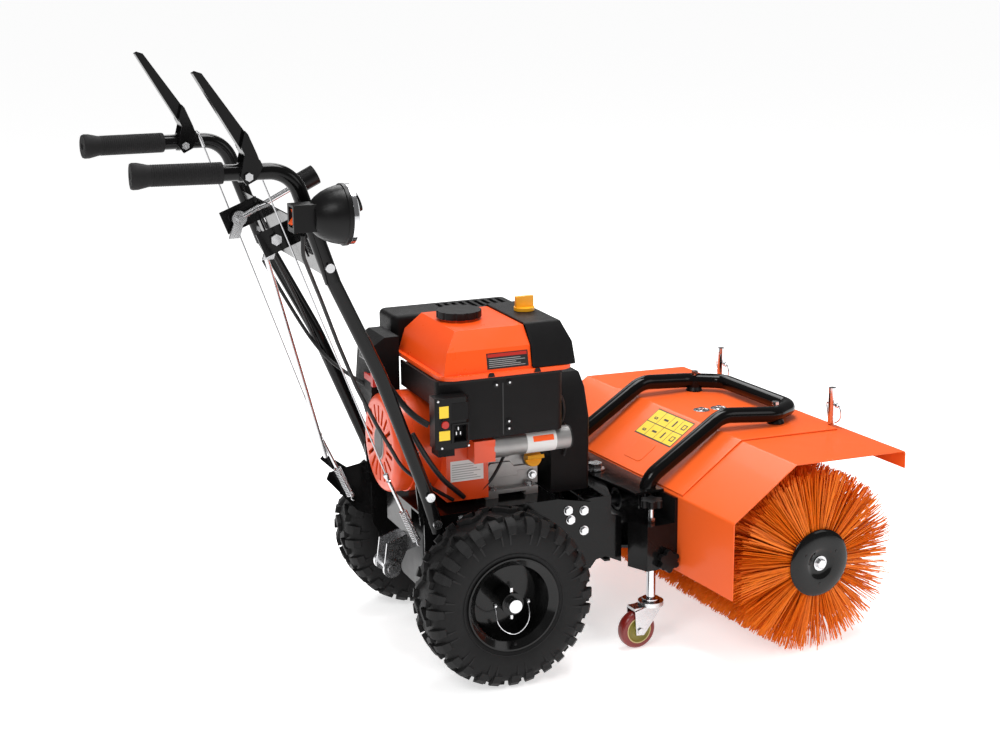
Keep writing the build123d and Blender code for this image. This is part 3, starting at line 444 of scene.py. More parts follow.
def sheet(profile, thickness, v_low, v_high):
    """Bent sheet of the head: an open (u, z) profile with a thickness, between two v values."""
    ring = list(profile) + offset(profile, thickness)[::-1]
    cuts, verts, faces, n = 6, [], [], len(ring)
    for step in range(cuts + 1):
        v = v_low + (v_high - v_low) * step / cuts
        verts += [head(u, v, z) for u, z in ring]
    for step in range(cuts):
        a, b = step * n, (step + 1) * n
        faces += [(a + i, a + (i + 1) % n, b + (i + 1) % n, b + i) for i in range(n)]
    m = len(profile)
    for base in (0, cuts * n):
        faces += [(base + i, base + i + 1, base + n - 2 - i, base + n - 1 - i) for i in range(m - 1)]
    return verts, faces


def bored(shape, origin, axis, radius, reach):
    """The shape's vertices and faces with a round hole cut through them."""
    pair = []
    for verts, faces in (shape, lathe(corners_of((0, radius), (-reach, reach)), origin, axis, 48)):
        data = bpy.data.meshes.new("bore")
        data.from_pydata([tuple(v) for v in verts], [], [tuple(f) for f in faces])
        bm = bmesh.new()
        bm.from_mesh(data)
        bmesh.ops.remove_doubles(bm, verts=bm.verts, dist=1e-6)
        bmesh.ops.recalc_face_normals(bm, faces=bm.faces)
        bm.to_mesh(data)
        bm.free()
        pair.append(bpy.data.objects.new("bore", data))
        bpy.context.scene.collection.objects.link(pair[-1])
    cut = pair[0].modifiers.new("cut", "BOOLEAN")
    cut.operation, cut.solver, cut.object = "DIFFERENCE", "EXACT", pair[1]
    result = pair[0].evaluated_get(bpy.context.evaluated_depsgraph_get()).to_mesh()
    verts = [v.co.copy() for v in result.vertices]
    faces = [tuple(p.vertices) for p in result.polygons]
    for obj in pair:
        bpy.data.objects.remove(obj)
    return verts, faces


def hex_bolt(origin, axis, across, washer, height):
    """Hexagon head with a chamfered top, on a washer."""
    axis, side, other = frame_of(axis)
    verts, faces = [], []
    base = 0.0
    if washer:
        base = 1.4
        verts, faces = lathe(corners_of((across * 0.3, across * 0.85), (0, base)), origin, axis, 28)
    start = len(verts)
    for radius, lift in ((0.577, 0), (0.577, height * 0.82), (0.50, height)):
        for angle in full_turn(6):
            spoke = side * math.cos(angle) + other * math.sin(angle)
            verts.append(origin + spoke * radius * across / 1000 + axis * (base + lift) / 1000)
    for level in (0, 6):
        faces += [(start + level + k, start + level + (k + 1) % 6, start + level + 6 + (k + 1) % 6,
                   start + level + 6 + k) for k in range(6)]
    faces += [tuple(start + k for k in range(6)), tuple(start + 12 + k for k in range(6))]
    return verts, faces


def dress(node, first, rules=(), bevel=0.6, angle=32):
    """Stands a copy of a CAD node, with rounded edges and finishes for its regions, in its place.

    A rule is (material, test). The test gets, in machine millimetres, the centres of a face and
    of its group of joined faces, and that group's size.
    """
    source = frame["nodes"][node]
    bm = bmesh.new()
    bm.from_mesh(source.data)
    bmesh.ops.remove_doubles(bm, verts=bm.verts, dist=2e-6)
    bmesh.ops.dissolve_limit(bm, angle_limit=math.radians(0.6), verts=bm.verts, edges=bm.edges)
    bm.verts.ensure_lookup_table()
    bm.faces.ensure_lookup_table()
    group = {}
    for seed in bm.verts:
        if seed.index in group:
            continue
        found, queue = {seed.index}, [seed]
        while queue:
            for edge in queue.pop().link_edges:
                for v in edge.verts:
                    if v.index not in found:
                        found.add(v.index)
                        queue.append(v)
        points = [(bm.verts[i].co - ORIGIN) * 1000 for i in found]
        low = Vector([min(p[k] for p in points) for k in range(3)])
        high = Vector([max(p[k] for p in points) for k in range(3)])
        for i in found:
            group[i] = ((low + high) / 2, high - low)
    for face in bm.faces:
        centre, size = group[face.verts[0].index]
        place = (face.calc_center_median() - ORIGIN) * 1000
        face.material_index = 0
        for index, (_, test) in enumerate(rules, 1):
            if test(place, centre, size):
                face.material_index = index
    data = bpy.data.meshes.new(f"{node}_look")
    bm.to_mesh(data)
    bm.free()
    for name in ("custom_normal", "sharp_face"):
        if name in data.attributes:
            data.attributes.remove(data.attributes[name])
    for material in (first, *[rule[0] for rule in rules]):
        data.materials.append(material)
    obj = bpy.data.objects.new(f"{node}_look", data)
    bpy.context.scene.collection.objects.link(obj)
    soften(obj, angle, bevel)
    adopt(obj, source["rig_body"], [node])


# ---- finishes for the CAD shapes
def paint_frame():
    """A finish for each CAD node that keeps its shape; in a rule f is the face, c and s its group."""
    whole = {
        "chassis_frame": GLOSS, "hitch_bracket": GLOSS, "frame_bolts": ZINC, "crankshaft": STEEL,
        "drive_shaft": STEEL, "drive_belt": CABLE, "blower_housing": HOUSING, "recoil_cover": HOUSING,
        "fuel_tank": TANK, "fuel_cap": SATIN, "tank_end_cover": PLASTIC, "wing_knob": YELLOW,
        "engine_side_cover": PLASTIC, "starter_switch_box": SATIN, "starter_button": RED,
        "dipstick": YELLOW, "muffler_guard": PLASTIC, "heater_box": PLASTIC, "throttle_lever": RED,
        "belt_cover": PLASTIC, "handle_lower_tubes": GLOSS, "control_panel": GLOSS,
        "clutch_lever_right": GLOSS, "clutch_lever_left": GLOSS, "shift_rod": ZINC, "shift_arm": GLOSS,
        "lamp_rocker": ROCKER, "lamp_cable": CABLE, "head_frame": GLOSS, "bumper_tube": GLOSS,
        "collector_pins": CHROME, "worm_gearbox": DARKCAST, "gearbox_input_shaft": STEEL,
        "rim_right": RIM, "rim_left": RIM, "half_axle_right": ZINC, "half_axle_left": ZINC,
        "castor_post_right": CHROME, "castor_post_left": CHROME, "castor_fork_right": ZINC,
        "castor_fork_left": ZINC, "handle_upper_bars": GLOSS,
    }
    wide = {"fuel_tank": 5.0, "tank_end_cover": 3.0, "belt_cover": 2.5, "blower_housing": 2.0,
            "engine_side_cover": 1.5, "muffler_guard": 2.0, "heater_box": 4.0, "recoil_cover": 1.2,
            "fuel_cap": 1.6, "hitch_bracket": 0.8}
    unrounded = {"bumper_tube", "lamp_cable", "drive_belt", "crankshaft", "handle_lower_tubes",
                 "handle_upper_bars"}
    for node, material in whole.items():
        dress(node, material, bevel=0.0 if node in unrounded else wide.get(node, 0.6))
    dress("transmission_case", DARKCAST, [(ZINC, lambda f, c, s: c.x < -80)], bevel=1.0)
    dress("engine_crankcase", ALLOY, [(SATIN, lambda f, c, s: c.z > 440 and s.y < 60)], bevel=1.2)
    dress("starter_motor", ALLOY, [(HOUSING, lambda f, c, s: f.x < 22)], bevel=1.0)
    for side in SIDES:
        dress(f"control_lever_{side}", ZINC, [(SATIN, lambda f, c, s: f.x > -262)], bevel=1.6)

    def from_lamp(f):
        return math.hypot(f.y - LAMP_Y, f.z - LAMP_Z)

    front = [
        (CHROME, lambda f, c, s: f.x > -297.2 and from_lamp(f) > 43),
        (LENS, lambda f, c, s: f.x > -297.2 and from_lamp(f) < 43.9),
    ]
    dress("lamp_housing", SATIN, front, bevel=0.8)

    fasteners = [
        (ZINC, lambda f, c, s: c.z > 418 and f.z > 426),
        (ZINC, lambda f, c, s: s.z > 60 and f.z < 280.5),
    ]
    dress("head_fasteners", SATIN, fasteners, bevel=1.0)


# ---- tyres
def tyre(side, sign):
    """Lugged tyre, its valve and the loop of the click pin."""
    middle, out = at(0, sign * HALF_TRACK, AXLE_Z), Vector((0, sign, 0))
    build = Builder()
    carcass = [(77, -42), (86, -50), (97, -54.5), (112, -56.5), (128, -56), (140, -53.5), (149, -47),
               (154, -36), (156, -20), (156.6, 0)]
    carcass += [(r, -t) for r, t in reversed(carcass[:-1])]
    build.add(*lathe(carcass + [(77, 0)], middle, out, 144), TYRE)
    ridge = [(95.5, 53.4), (97, 56), (98.5, 55.8), (99, 54)]
    for flip in (1, -1):
        build.add(*lathe([(r, t * flip) for r, t in ridge], middle, out, 120), TYRE)

    lugs, tread_radius = 28, 160

    def lug(angle, flip, stations):
        """Block that follows the tread: stations of (base, top, shift, half width)."""
        verts = []
        for (rb, tb), (rt, tt), shift, half in stations:
            for r, t, w in ((rb, tb, half * 1.15), (rt, tt, half)):
                for edge in (-w, w):
                    turn = angle + (shift + edge) / tread_radius
                    spoke = Vector((math.cos(turn), 0, math.sin(turn)))
                    verts.append(middle + spoke * r / 1000 + out * t * flip / 1000)
        faces, last = [], len(stations) - 1
        for i in range(last):
            a, b = 4 * i, 4 * i + 4
            faces += [(a + 2, a + 3, b + 3, b + 2), (a, a + 2, b + 2, b), (a + 1, b + 1, b + 3, a + 3),
                      (a, b, b + 1, a + 1)]
        faces += [(0, 1, 3, 2), (4 * last, 4 * last + 2, 4 * last + 3, 4 * last + 1)]
        build.add(verts, faces, TYRE)

    for k in range(lugs):
        for flip in (1, -1):
            angle = 2 * math.pi * (k + (0.5 if flip < 0 else 0)) / lugs
            lean = 1 if k % 2 else -1
            shoulder = [((154, 33), (163.2, 34), 2 * lean, 6.5), ((151, 43), (160.5, 45), 2 * lean, 8.5),
                        ((145, 49), (152, 54), 2 * lean, 9.0), ((134, 54), (138, 56.8), 2 * lean, 8.0)]
            lug(angle, flip, shoulder)
            rib = [((136, 54.5), (136, 56.9), lean * 8, 2.2), ((116, 56), (118, 56.95), lean * 8, 1.6)]
            lug(angle, flip, rib)
            bar = [((156, 3 + 4 * (k % 2)), (164.6, 4 + 4 * (k % 2)), 15 * lean - 6, 5.2),
                   ((156, 14), (164.6, 14), 8 * lean - 3, 5.6), ((155, 25), (164, 25), -1 * lean, 6.4),
                   ((154.5, 31), (163.4, 30.5), -1 * lean, 6.0)]
            lug(angle + math.pi / lugs, flip, bar)
    build.piece(f"tyre_{side}_tread", f"wheel_{side}", [f"tyre_{side}"], angle=30)
    valve = Builder()
    base = middle + Vector((0, 0, -0.0815)) + out * 0.040
    stem = [(0, 0), (4.5, 0), (4, 10), (3, 12), (3, 22), (0, 23)]
    valve.add(*lathe(stem, base, out + Vector((0, 0, 0.4)), 20), SATIN)
    valve.piece(f"valve_{side}", f"wheel_{side}")
    loop = Builder()
    hub = middle + out * 0.042
    bow = [(-0.031, 0, 0), (-0.034, -0.010, 0.004), (-0.030, -0.040, 0.012), (0, -0.060, 0.016),
           (0.030, -0.040, 0.012), (0.034, -0.010, 0.004), (0.031, 0, 0)]
    points = [hub + Vector((x, 0, z)) + out * reach for x, z, reach in bow]
    loop.add(*swept(nurbs(points), 1.1, 8), CHROME)
    for x in (-1, 1):
        end = hub + Vector((x * 0.0305, 0, 0))
        loop.add(*lathe(corners_of((0, 5), (0, 4)), end, (x, 0, 0), 20), ZINC)
    loop.piece(f"click_pin_loop_{side}", f"wheel_{side}")


# ---- brush
def brush_core():
    """Shaft, cores and the dished end discs with their bolts."""
    along = head(0, 1, 0) - head(0, 0, 0)
    middle = head(BRUSH_U, 0, BRUSH_Z)
    build = Builder()
    build.add(*lathe(corners_of((0, 12), (-391, 343)), middle, along, 40), ZINC)
    for low, high in ((-384, -38.5), (38.5, 336)):
        build.add(*lathe(corners_of((12, 59.6), (low, high)), middle, along, 72), CORE)
    dish = [(12, 0), (66, 0), (66.3, 1.6), (65, 3.4), (60, 5.2), (52, 7.2), (46, 8), (33, 8), (28, 6.6),
            (24, 4.2), (17, 3.8), (12, 3.8)]
    for end, out in zip(BRUSH_ENDS, (-1, 1)):
        build.add(*lathe([(r, end + out * t) for r, t in dish], middle, along, 96), RIM)
        face = head(BRUSH_U, end + out * 4.2, BRUSH_Z)
        build.add(*hex_bolt(face, along * out, 17, True, 6.5), ZINC)
        for turn in full_turn(3):
            a = turn + 0.5
            spot = head(BRUSH_U + 40 * math.cos(a), end + out * 7.8, BRUSH_Z + 40 * math.sin(a))
            build.add(*lathe([(0, 0), (3.4, 0), (3.0, 0.9), (0, 1.1)], spot, along * out, 20), RIM)
    build.piece("brush_core_and_discs", "brush", ["brush_shaft"], angle=35)


def bristles():
    """Loose strands in rings of tufts, each strand a thin bent prism."""
    build = Builder()
    verts, faces = [], []
    for index in range(BRISTLE_COUNT):
        ring = rng.randrange(BRISTLE_RINGS)
        low, span = BRUSH_HALVES[index % 2]
        v = low + span * (ring + 0.5 + rng.gauss(0, 0.33)) / BRISTLE_RINGS
        v = min(max(v, low + 1.5), low + span - 1.5)
        tuft = rng.randrange(BRISTLE_TUFTS)
        angle = 2 * math.pi * (tuft + ring * 0.37 + rng.gauss(0, 0.30)) / BRISTLE_TUFTS
        length = BRISTLE_TIP - abs(rng.gauss(0, 5.0)) - rng.random() * 3
        bend, lean = rng.gauss(0, 0.020), rng.gauss(0, 5.0)
        width = rng.uniform(1.0, 1.45)
        base = len(verts)
        for radius in (BRISTLE_ROOT, BRISTLE_MIDDLE, length):
            t = (radius - BRISTLE_ROOT) / (BRISTLE_TIP - BRISTLE_ROOT)
            a = angle + bend * t * t
            along = min(max(v + lean * t, BRUSH_ENDS[0] + 1), BRUSH_ENDS[1] - 1)
            spoke = (math.cos(a), math.sin(a))
            side = (-spoke[1], spoke[0])
            w = width * (1.0 - 0.25 * t)
            for corner in full_turn(3):
                turn = corner + angle * 3
                across, dv = math.cos(turn) * w, math.sin(turn) * w
                verts.append(head(BRUSH_U + spoke[0] * radius + side[0] * across, along + dv,
                                  BRUSH_Z + spoke[1] * radius + side[1] * across))
        for step in range(2):
            a = base + 3 * step
            faces += [(a + k, a + (k + 1) % 3, a + 3 + (k + 1) % 3, a + 3 + k) for k in range(3)]
        faces.append((base + 6, base + 7, base + 8))
        faces.append((base + 2, base + 1, base))
    build.add(verts, faces, BRISTLE)
    build.piece("bristle_strands", "brush", ["bristles"], angle=50)


# ---- hood
def on_line(start, stop, u):
    """Height at u on the line through two (u, z) points."""
    return start[1] + (u - start[0]) * (stop[1] - start[1]) / (stop[0] - start[0])


def hood():
    """Bent sheet with the shaft's hole, raised panel, label, pressed field, bolts and feet."""
    outline = rounded([(53, 150), HOOD_FOOT, HOOD_CREST, HOOD_FRONT, (446, 348)], 7)
    forward = head(1, 0, 0) - head(0, 0, 0)
    build = Builder()
    shape = sheet(outline, 2.0, *HOOD_ENDS)
    build.add(*bored(shape, head(55, 0, SHAFT_Z), forward, SHAFT_HOLE_RADIUS, 15), ORANGE)
    build.piece("hood_sheet", "head", ["hood"], bevel=0.5, angle=30)
    spine = rounded([(58, on_line(HOOD_FOOT, HOOD_CREST, 58)), HOOD_CREST,
                     (420, on_line(HOOD_CREST, HOOD_FRONT, 420))], 9)
    panel = Builder()
    panel.add(*sheet(offset(spine, -PANEL_LIFT), 2.9, *PANEL_ENDS), ORANGE)
    panel.piece("hood_raised_panel", "head", ["hood_centre_panel"], bevel=1.2, angle=30)

    def slope(u, v, lift):
        """Point above the raised panel's rear slope."""
        square = Vector((HOOD_FOOT[1] - HOOD_CREST[1], HOOD_CREST[0] - HOOD_FOOT[0]))
        n = square.normalized() * (PANEL_LIFT + lift)
        return head(u + n.x, v, on_line(HOOD_FOOT, HOOD_CREST, u) + n.y)

    # label: dark ground, eight yellow fields and a plain dark mark in each
    sticker = Builder()

    def tile(u, v, lift, thick, material):
        corners = [slope(a, b, lift) for a, b in corners_of(u, v)]
        sticker.add(*extruded(corners, slope(u[0], v[0], lift + thick) - corners[0]), material)

    tile((126, 186), (-80, 54), 0.02, 0.2, INK)
    marks = [((8, 19), (7, 21)), ((6, 20), (12, 17)), ((11, 15), (6, 22)), ((7, 12), (8, 20))]
    for row in range(2):
        for column, ((near, far), (right, left)) in enumerate(marks):
            u, v = 128.5 + row * 28.5, -77.5 + column * 32.8
            tile((u, u + 26.8), (v, v + 31.2), 0.22, 0.12, LABEL)
            tile((u + near, u + far), (v + right, v + left), 0.34, 0.08, INK)
            if column in (0, 3):
                tile((u + near + 2, u + far - 1.6), (v + right + 3, v + left - 3), 0.42, 0.05, LABEL)
    sticker.piece("hood_label", "head", angle=20)
    # shallow pressed field below the label
    field = Builder()
    edge = [slope(u, v, -0.3) for u, v in rounded_box((78, 120), (-43, 21), 9)]
    field.add(*extruded(edge, slope(87, -12, 1.0) - slope(87, -12, -0.3)), ORANGE)
    field.piece("hood_pressed_lines", "head", bevel=1.0)
    top = Builder()
    rings = [(0, 0), (17, 0), (17, 1.2), (14, 1.6), (13, 1.0), (11, 1.0), (10, 2.0), (0, 2.0)]
    for u in (248, 290):
        place = head(u, -5, on_line(HOOD_CREST, HOOD_FRONT, u) + PANEL_LIFT)
        top.add(*lathe(rings, place, (0, 0, 1), 40), ZINC)
        top.add(*hex_bolt(place + Vector((0, 0, 0.002)), (0, 0, 1), 10, False, 4), ZINC)
    top.piece("hood_top_bolts", "head", angle=30)
    feet = Builder()
    foot = [(0, 0), (17, 0), (17.5, 2), (14, 9), (0, 9)]
    for v in (-148, 148):
        feet.add(*lathe(foot, head(330, v, 390.6), (0, 0, 1), 32), SATIN)
    feet.piece("bumper_feet", "head", angle=30)


def pin_clips():
    """Bent wires of the linch pins beside the two collector pins."""
    build = Builder()
    bow = [(431, -22, 428), (431, -27, 424), (432, -30, 410), (431, -24, 397), (429, -14, 392)]
    leg = [(431, 14, 428), (433, 18, 430), (433, 19, 420), (431, 12, 404), (431, 10, 394)]
    for pin in (-COLLECTOR_V, COLLECTOR_V):
        for wire in (bow, leg):
            build.add(*swept(nurbs([head(u, pin + v, z) for u, v, z in wire]), 1.35, 10), CHROME)
    build.piece("linch_pin_wires", "head", angle=60)


def castor_wheel(side, sign):
    """Tread, rings and hub of one castor's wheel."""
    axis = (head(0, 1, 0) - head(0, 0, 0)).normalized()
    centre = head(CASTOR_U, sign * CASTOR_V, CASTOR_Z)
    build = Builder()
    tread = [(26, -11.5), (33, -11.5), (36, -9), (37.5, -5), (37.5, 5), (36, 9), (33, 11.5), (26, 11.5)]
    ring = corners_of((24, 26.2), (-11.9, 11.9))
    hub = [(4.1, -12), (10, -12), (12, -9), (20, -9), (24, -11.6), (24, 11.6), (20, 9), (12, 9), (10, 12),
           (4.1, 12)]
    for profile, segments, material in ((tread, 72, TREAD), (ring, 64, TAN), (hub, 64, HUB)):
        build.add(*lathe(profile, centre, axis, segments), material)
    build.piece(f"castor_wheel_{side}_look", f"castor_wheel_{side}",
                [f"castor_wheel_{side}"], bevel=0.5, angle=35)


# ---- handle
def grips():
    """Ribbed rubber grips on the ends of the handle's bars."""
    profile = [(14.05, 116), (17.6, 116), (18.3, 118)]
    for rib in range(30):
        t = 122 + rib * 3.8
        profile += [(18.4, t), (18.4, t + 1.9), (17.9, t + 2.4), (17.9, t + 3.3)]
    profile += [(18.6, 240), (20.5, 248), (22.2, 256), (22.4, 264), (21, 267.6), (6, 268), (6, 262.5),
                (14.05, 262.4)]
    build = Builder()
    for sign in SIDES.values():
        corner, tip = at(-371, sign * 231, 976), at(-632, sign * 213, 980)
        build.add(*lathe(profile, corner, (tip - corner).normalized(), 56), GRIP)
    build.piece("grips_ribbed", "root", ["handle_grips"], angle=40)


def clutch_wire(side, sign):
    """Wire with a ring at its top and a spring, sleeve and tail at its lower end."""
    top = at(-424, sign * 194, 992)
    if side == "right":
        eye, hook = at(-174, -104, 378), at(-108, -104, 222)
    else:
        eye, hook = at(-226, 142, 400), at(-150, 142, 232)
    up, way = (top - eye).normalized(), (hook - eye).normalized()
    _, across, other = frame_of(way)
    build = Builder()
    build.add(*swept([eye, top], 1.5, 8), STEEL)
    build.add(*lathe([(0, -24), (3.2, -24), (3.6, -6), (2.4, 0), (0, 0)], top, up, 20), ZINC)
    ring = [top + up * 0.004 + (up * math.cos(a) + Vector((0, 1, 0)) * math.sin(a)) * 0.0045
            for a in full_turn(20)]
    build.add(*swept(ring, 1.2, 8, closed=True), ZINC)
    build.add(*lathe([(0, -6), (5, -6), (5.4, 0), (3.4, 4), (3.4, 76), (0, 76)], eye, way, 24), ZINC)
    build.add(*lathe([(3.4, 8), (5, 9), (3.4, 11)], eye, way, 20), ZINC)
    coils, per_turn, radius = 18, 14, 6.7
    points = []
    for step in range(coils * per_turn):
        a = 2 * math.pi * step / per_turn
        reach = 77 + 68 * step / (coils * per_turn)
        points.append(eye + way * reach / 1000
                      + (across * math.cos(a) + other * math.sin(a)) * radius / 1000)
    build.add(*swept(points, 1.25, 8), ZINC)
    build.add(*swept([eye + way * 0.07, eye + way * 0.147], 1.6, 8), ZINC)
    tail = nurbs([eye + way * 0.14, eye + way * 0.146, eye + way * 0.152 + across * 0.004,
                  eye + way * 0.156 - across * 0.001])
    build.add(*swept(tail, 1.5, 8), ZINC)
    build.piece(f"clutch_wire_{side}_spring", f"clutch_wire_{side}", [f"clutch_wire_{side}"],
                angle=50)


def lever_gussets():
    """Plates that close the corner between each squeeze lever's blade and its pivot ears."""
    pivot_x, pivot_y, pivot_z = -449, 225.6, 972
    tilt = math.atan2(172, 83)
    profile = ((10, 29), (26, 31), (62, 33), (70, 31), (48, 12.5), (34, 12.5))
    for side, sign in SIDES.items():
        build = Builder()
        for offset in (-20.9, 18.1):
            outline = [at(pivot_x - reach * math.cos(tilt) + lift * math.sin(tilt),
                          sign * pivot_y + offset,
                          pivot_z + reach * math.sin(tilt) + lift * math.cos(tilt))
                       for reach, lift in profile]
            build.add(*extruded(outline, Vector((0, 0.0028, 0))), GLOSS)
        build.piece(f"lever_gussets_{side}", f"clutch_lever_{side}", bevel=0.4)


# ---- engine
def block(build, outline, y, thick, material):
    """Outline in (x, z) at y, thickened to the machine's right."""
    build.add(*extruded([at(x, y, z) for x, z in outline], Vector((0, -thick / 1000, 0))), material)


def plate(build, x, z, y, thick, material):
    """Block from a rectangle's limits in x and z."""
    block(build, corners_of(x, z), y, thick, material)


def side_cover_trim():
    """Seam, hinge line and screws of the engine's side cover."""
    build = Builder()
    plate(build, (36, 38), (449, 548), SIDE_COVER_Y, 0.5, INK)
    plate(build, (-88, 156), (556, 561.5), SIDE_COVER_Y, 0.8, SATIN)
    for x, z in ((24, 546), (50, 548), (48, 474), (48, 460)):
        place = at(x, SIDE_COVER_Y, z)
        build.add(*lathe([(0, 0), (6, 0), (6.4, 1), (3, 2.2), (0, 2.4)], place, (0, -1, 0), 24), SATIN)
        build.add(*lathe([(0, 2.2), (2.2, 2.2), (2.0, 3.0), (0, 3.0)], place, (0, -1, 0), 12), ZINC)
    build.piece("side_cover_trim", "root", angle=30)


def tank_details():
    """Blank label that leans with the tank's side, guessed cooling fins below it, and two clips."""
    build = Builder()

    def leaned(x, z, lift, thick, material):
        corners = [at(a, -158 + (b - 570) * 8 / 42 - lift, b) for a, b in corners_of(x, z)]
        build.add(*extruded(corners, Vector((0, -thick / 1000, 0))), material)

    leaned((8, 90), (575, 604), 0.1, 0.3, INK)
    leaned((10, 88), (596.5, 602.5), 0.4, 0.15, RED)
    for row in range(5):
        leaned((12, 84 - 9 * (row % 3)), (578.5 + 3.4 * row, 579.6 + 3.4 * row), 0.4, 0.15, GREY)
    build.piece("tank_label", "root", angle=20)
    build = Builder()
    pitch = 7
    for low, high, inset in [(512, 559, 6)] + [(515 + pitch * k, 517.4 + pitch * k, 0) for k in range(6)]:
        edge = rounded_box((-83 + inset, 86 - inset), (-108 + inset, 57 - inset), 12)
        up = Vector((0, 0, (high - low) / 1000))
        build.add(*extruded([at(x, y, low) for x, y in edge], up), DARKCAST)
    build.piece("cooling_fins", "root", bevel=0.4)
    build = Builder()
    for x in (12, 104):
        block(build, [(x - 7, 563), (x + 7, 563), (x + 4, 571), (x - 4, 571)], -166.1, 2, SATIN)
    build.piece("tank_clips", "root", bevel=0.5)


def switch_box_details():
    """Stickers, bezel, socket with its pins, and screws on the switch box's front."""
    build = Builder()
    front = [
        ((-102, -84), (504, 526), 0.3, LABEL), ((-103, -82), (462, 480), 0.3, LABEL),
        ((-78, -46), (498, 530), 0.6, PLASTIC), ((-76, -48), (454, 457), 2.0, SATIN),
        ((-76, -48), (489, 492), 2.0, SATIN), ((-79, -76), (454, 492), 2.0, SATIN),
        ((-48, -45), (454, 492), 2.0, SATIN),
    ]
    for x, z, thick, material in front:
        plate(build, x, z, SWITCH_BOX_Y, thick, material)
    for x, z in ((-66, 470), (-58, 470), (-62, 479)):
        plate(build, (x - 1, x + 1), (z - 3, z + 3), -178.2, 8.0, ZINC)
    collar = corners_of((7.6, 10.5), (0, 2.4))
    build.add(*lathe(collar, at(-92, SWITCH_BOX_Y, 492), (0, -1, 0), 32), SATIN)
    screw = [(0, 0), (2.4, 0), (2.0, 1.2), (0, 1.4)]
    for x, z in ((-104, 536), (-98, 448), (-46, 448)):
        build.add(*lathe(screw, at(x, SWITCH_BOX_Y, z), (0, -1, 0), 16), ZINC)
    build.piece("switch_box_details", "root", bevel=0.3, angle=30)


def recoil_badge():
    """Blank oval badge on the recoil cover."""
    build = Builder()
    for x, wide, tall, thick, material in ((-153.6, 26, 32, 0.0018, GREY), (-154.4, 23, 29, 0.0012, INK)):
        oval = [at(x, wide * math.cos(a), CRANK_Z + tall * math.sin(a)) for a in full_turn(48)]
        build.add(*extruded(oval, Vector((thick, 0, 0))), material)
    build.piece("recoil_badge", "root", bevel=0.4, angle=30)


def engine_bolts():
    """Bolts of the recoil cover, and of the crankcase's front, right wall and feet."""
    build = Builder()
    for degrees in (60, 180, 300):
        a = math.radians(degrees)
        place = at(-112, 99 * math.cos(a), CRANK_Z + 99 * math.sin(a))
        ear = place + Vector((0.006, 0, 0))
        build.add(*lathe(corners_of((0, 9), (0, -4)), ear, (1, 0, 0), 24), HOUSING)
        build.add(*hex_bolt(place + Vector((0.002, 0, 0)), (-1, 0, 0), 8, True, 4), ZINC)
    groups = [
        ((1, 0, 0), 10, 5, ((138, -60, 345), (138, 60, 345), (138, -62, 440), (138, 62, 440))),
        ((0, -1, 0), 10, 5, ((30, -86.6, 452), (126, -86.6, 340), (30, -86.6, 336))),
        ((0, 0, 1), 12, 6, ((40, -92, 322), (116, -92, 322))),
    ]
    for axis, across, height, places in groups:
        for place in places:
            build.add(*hex_bolt(at(*place), axis, across, True, height), ZINC)
    build.piece("engine_bolts", "root", angle=30)


def engine_plates():
    """Blank plates with plain rules in place of print."""
    build = Builder()
    plate(build, (-54, 12), (356, 396), -120, 0.3, WHITE)
    for row in range(7):
        plate(build, (-51, 6 - 7 * (row % 3)), (360 + 4.6 * row, 361.6 + 4.6 * row), -120.3, 0.1, GREY)
    plate(build, (54, 104), (384, 400), CRANKCASE_Y, 0.4, GREY)
    for row in range(3):
        plate(build, (58, 98 - 8 * row), (387 + 4 * row, 388.4 + 4 * row), CRANKCASE_Y - 0.4, 0.1, INK)
    build.piece("engine_plates", "root", angle=20)


def crankcase_ribs():
    """Web, ribs, bolt bosses and feet cast on the crankcase's right wall."""
    build = Builder()
    web = [(30, 342), (96, 342), (96, 352), (126, 352), (126, 362), (88, 362), (80, 372), (40, 372),
           (30, 362)]
    block(build, web, -83.5, 4, ALLOY)
    for x in (48, 60, 72):
        plate(build, (x, x + 3), (404, 436), -83.5, 7, ALLOY)
    boss = corners_of((0, 10), (0.5, -3))
    for x, z in ((30, 452), (126, 340), (30, 336)):
        build.add(*lathe(boss, at(x, CRANKCASE_Y, z), (0, 1, 0), 32), ALLOY)
    for x in (40, 116):
        foot = [(x - 12, 306.2), (x + 12, 306.2), (x + 8, 322), (x - 8, 322)]
        block(build, foot, CRANKCASE_Y, 13, ALLOY)
    build.piece("crankcase_ribs", "root", bevel=1.0, angle=30)


def starter_sleeve():
    """Pale sleeve, orange stripe, end nut and seal of the starter motor."""
    build = Builder()
    sleeve = at(0, STARTER_Y, STARTER_Z)
    arc = [math.radians(d) for d in range(142, 171, 4)]
    stripe = [at(100, STARTER_Y + r * math.cos(d), STARTER_Z + r * math.sin(d))
              for r, run in ((22.3, arc), (22.6, arc[::-1])) for d in run]
    wrap = [(21.9, 88), (22.35, 88.3), (22.35, 148), (21.9, 148.3)]
    build.add(*lathe(wrap, sleeve, (1, 0, 0), 72), WHITE)
    build.add(*extruded(stripe, Vector((0.042, 0, 0))), ROCKER)
    build.add(*lathe([(0, 182), (9, 182), (10, 185), (8, 187), (0, 187)], sleeve, (1, 0, 0), 32), ZINC)
    build.add(*lathe(corners_of((22.0, 22.6), (178, 181)), sleeve, (1, 0, 0), 64), CABLE)
    build.piece("starter_sleeve", "root", angle=40)


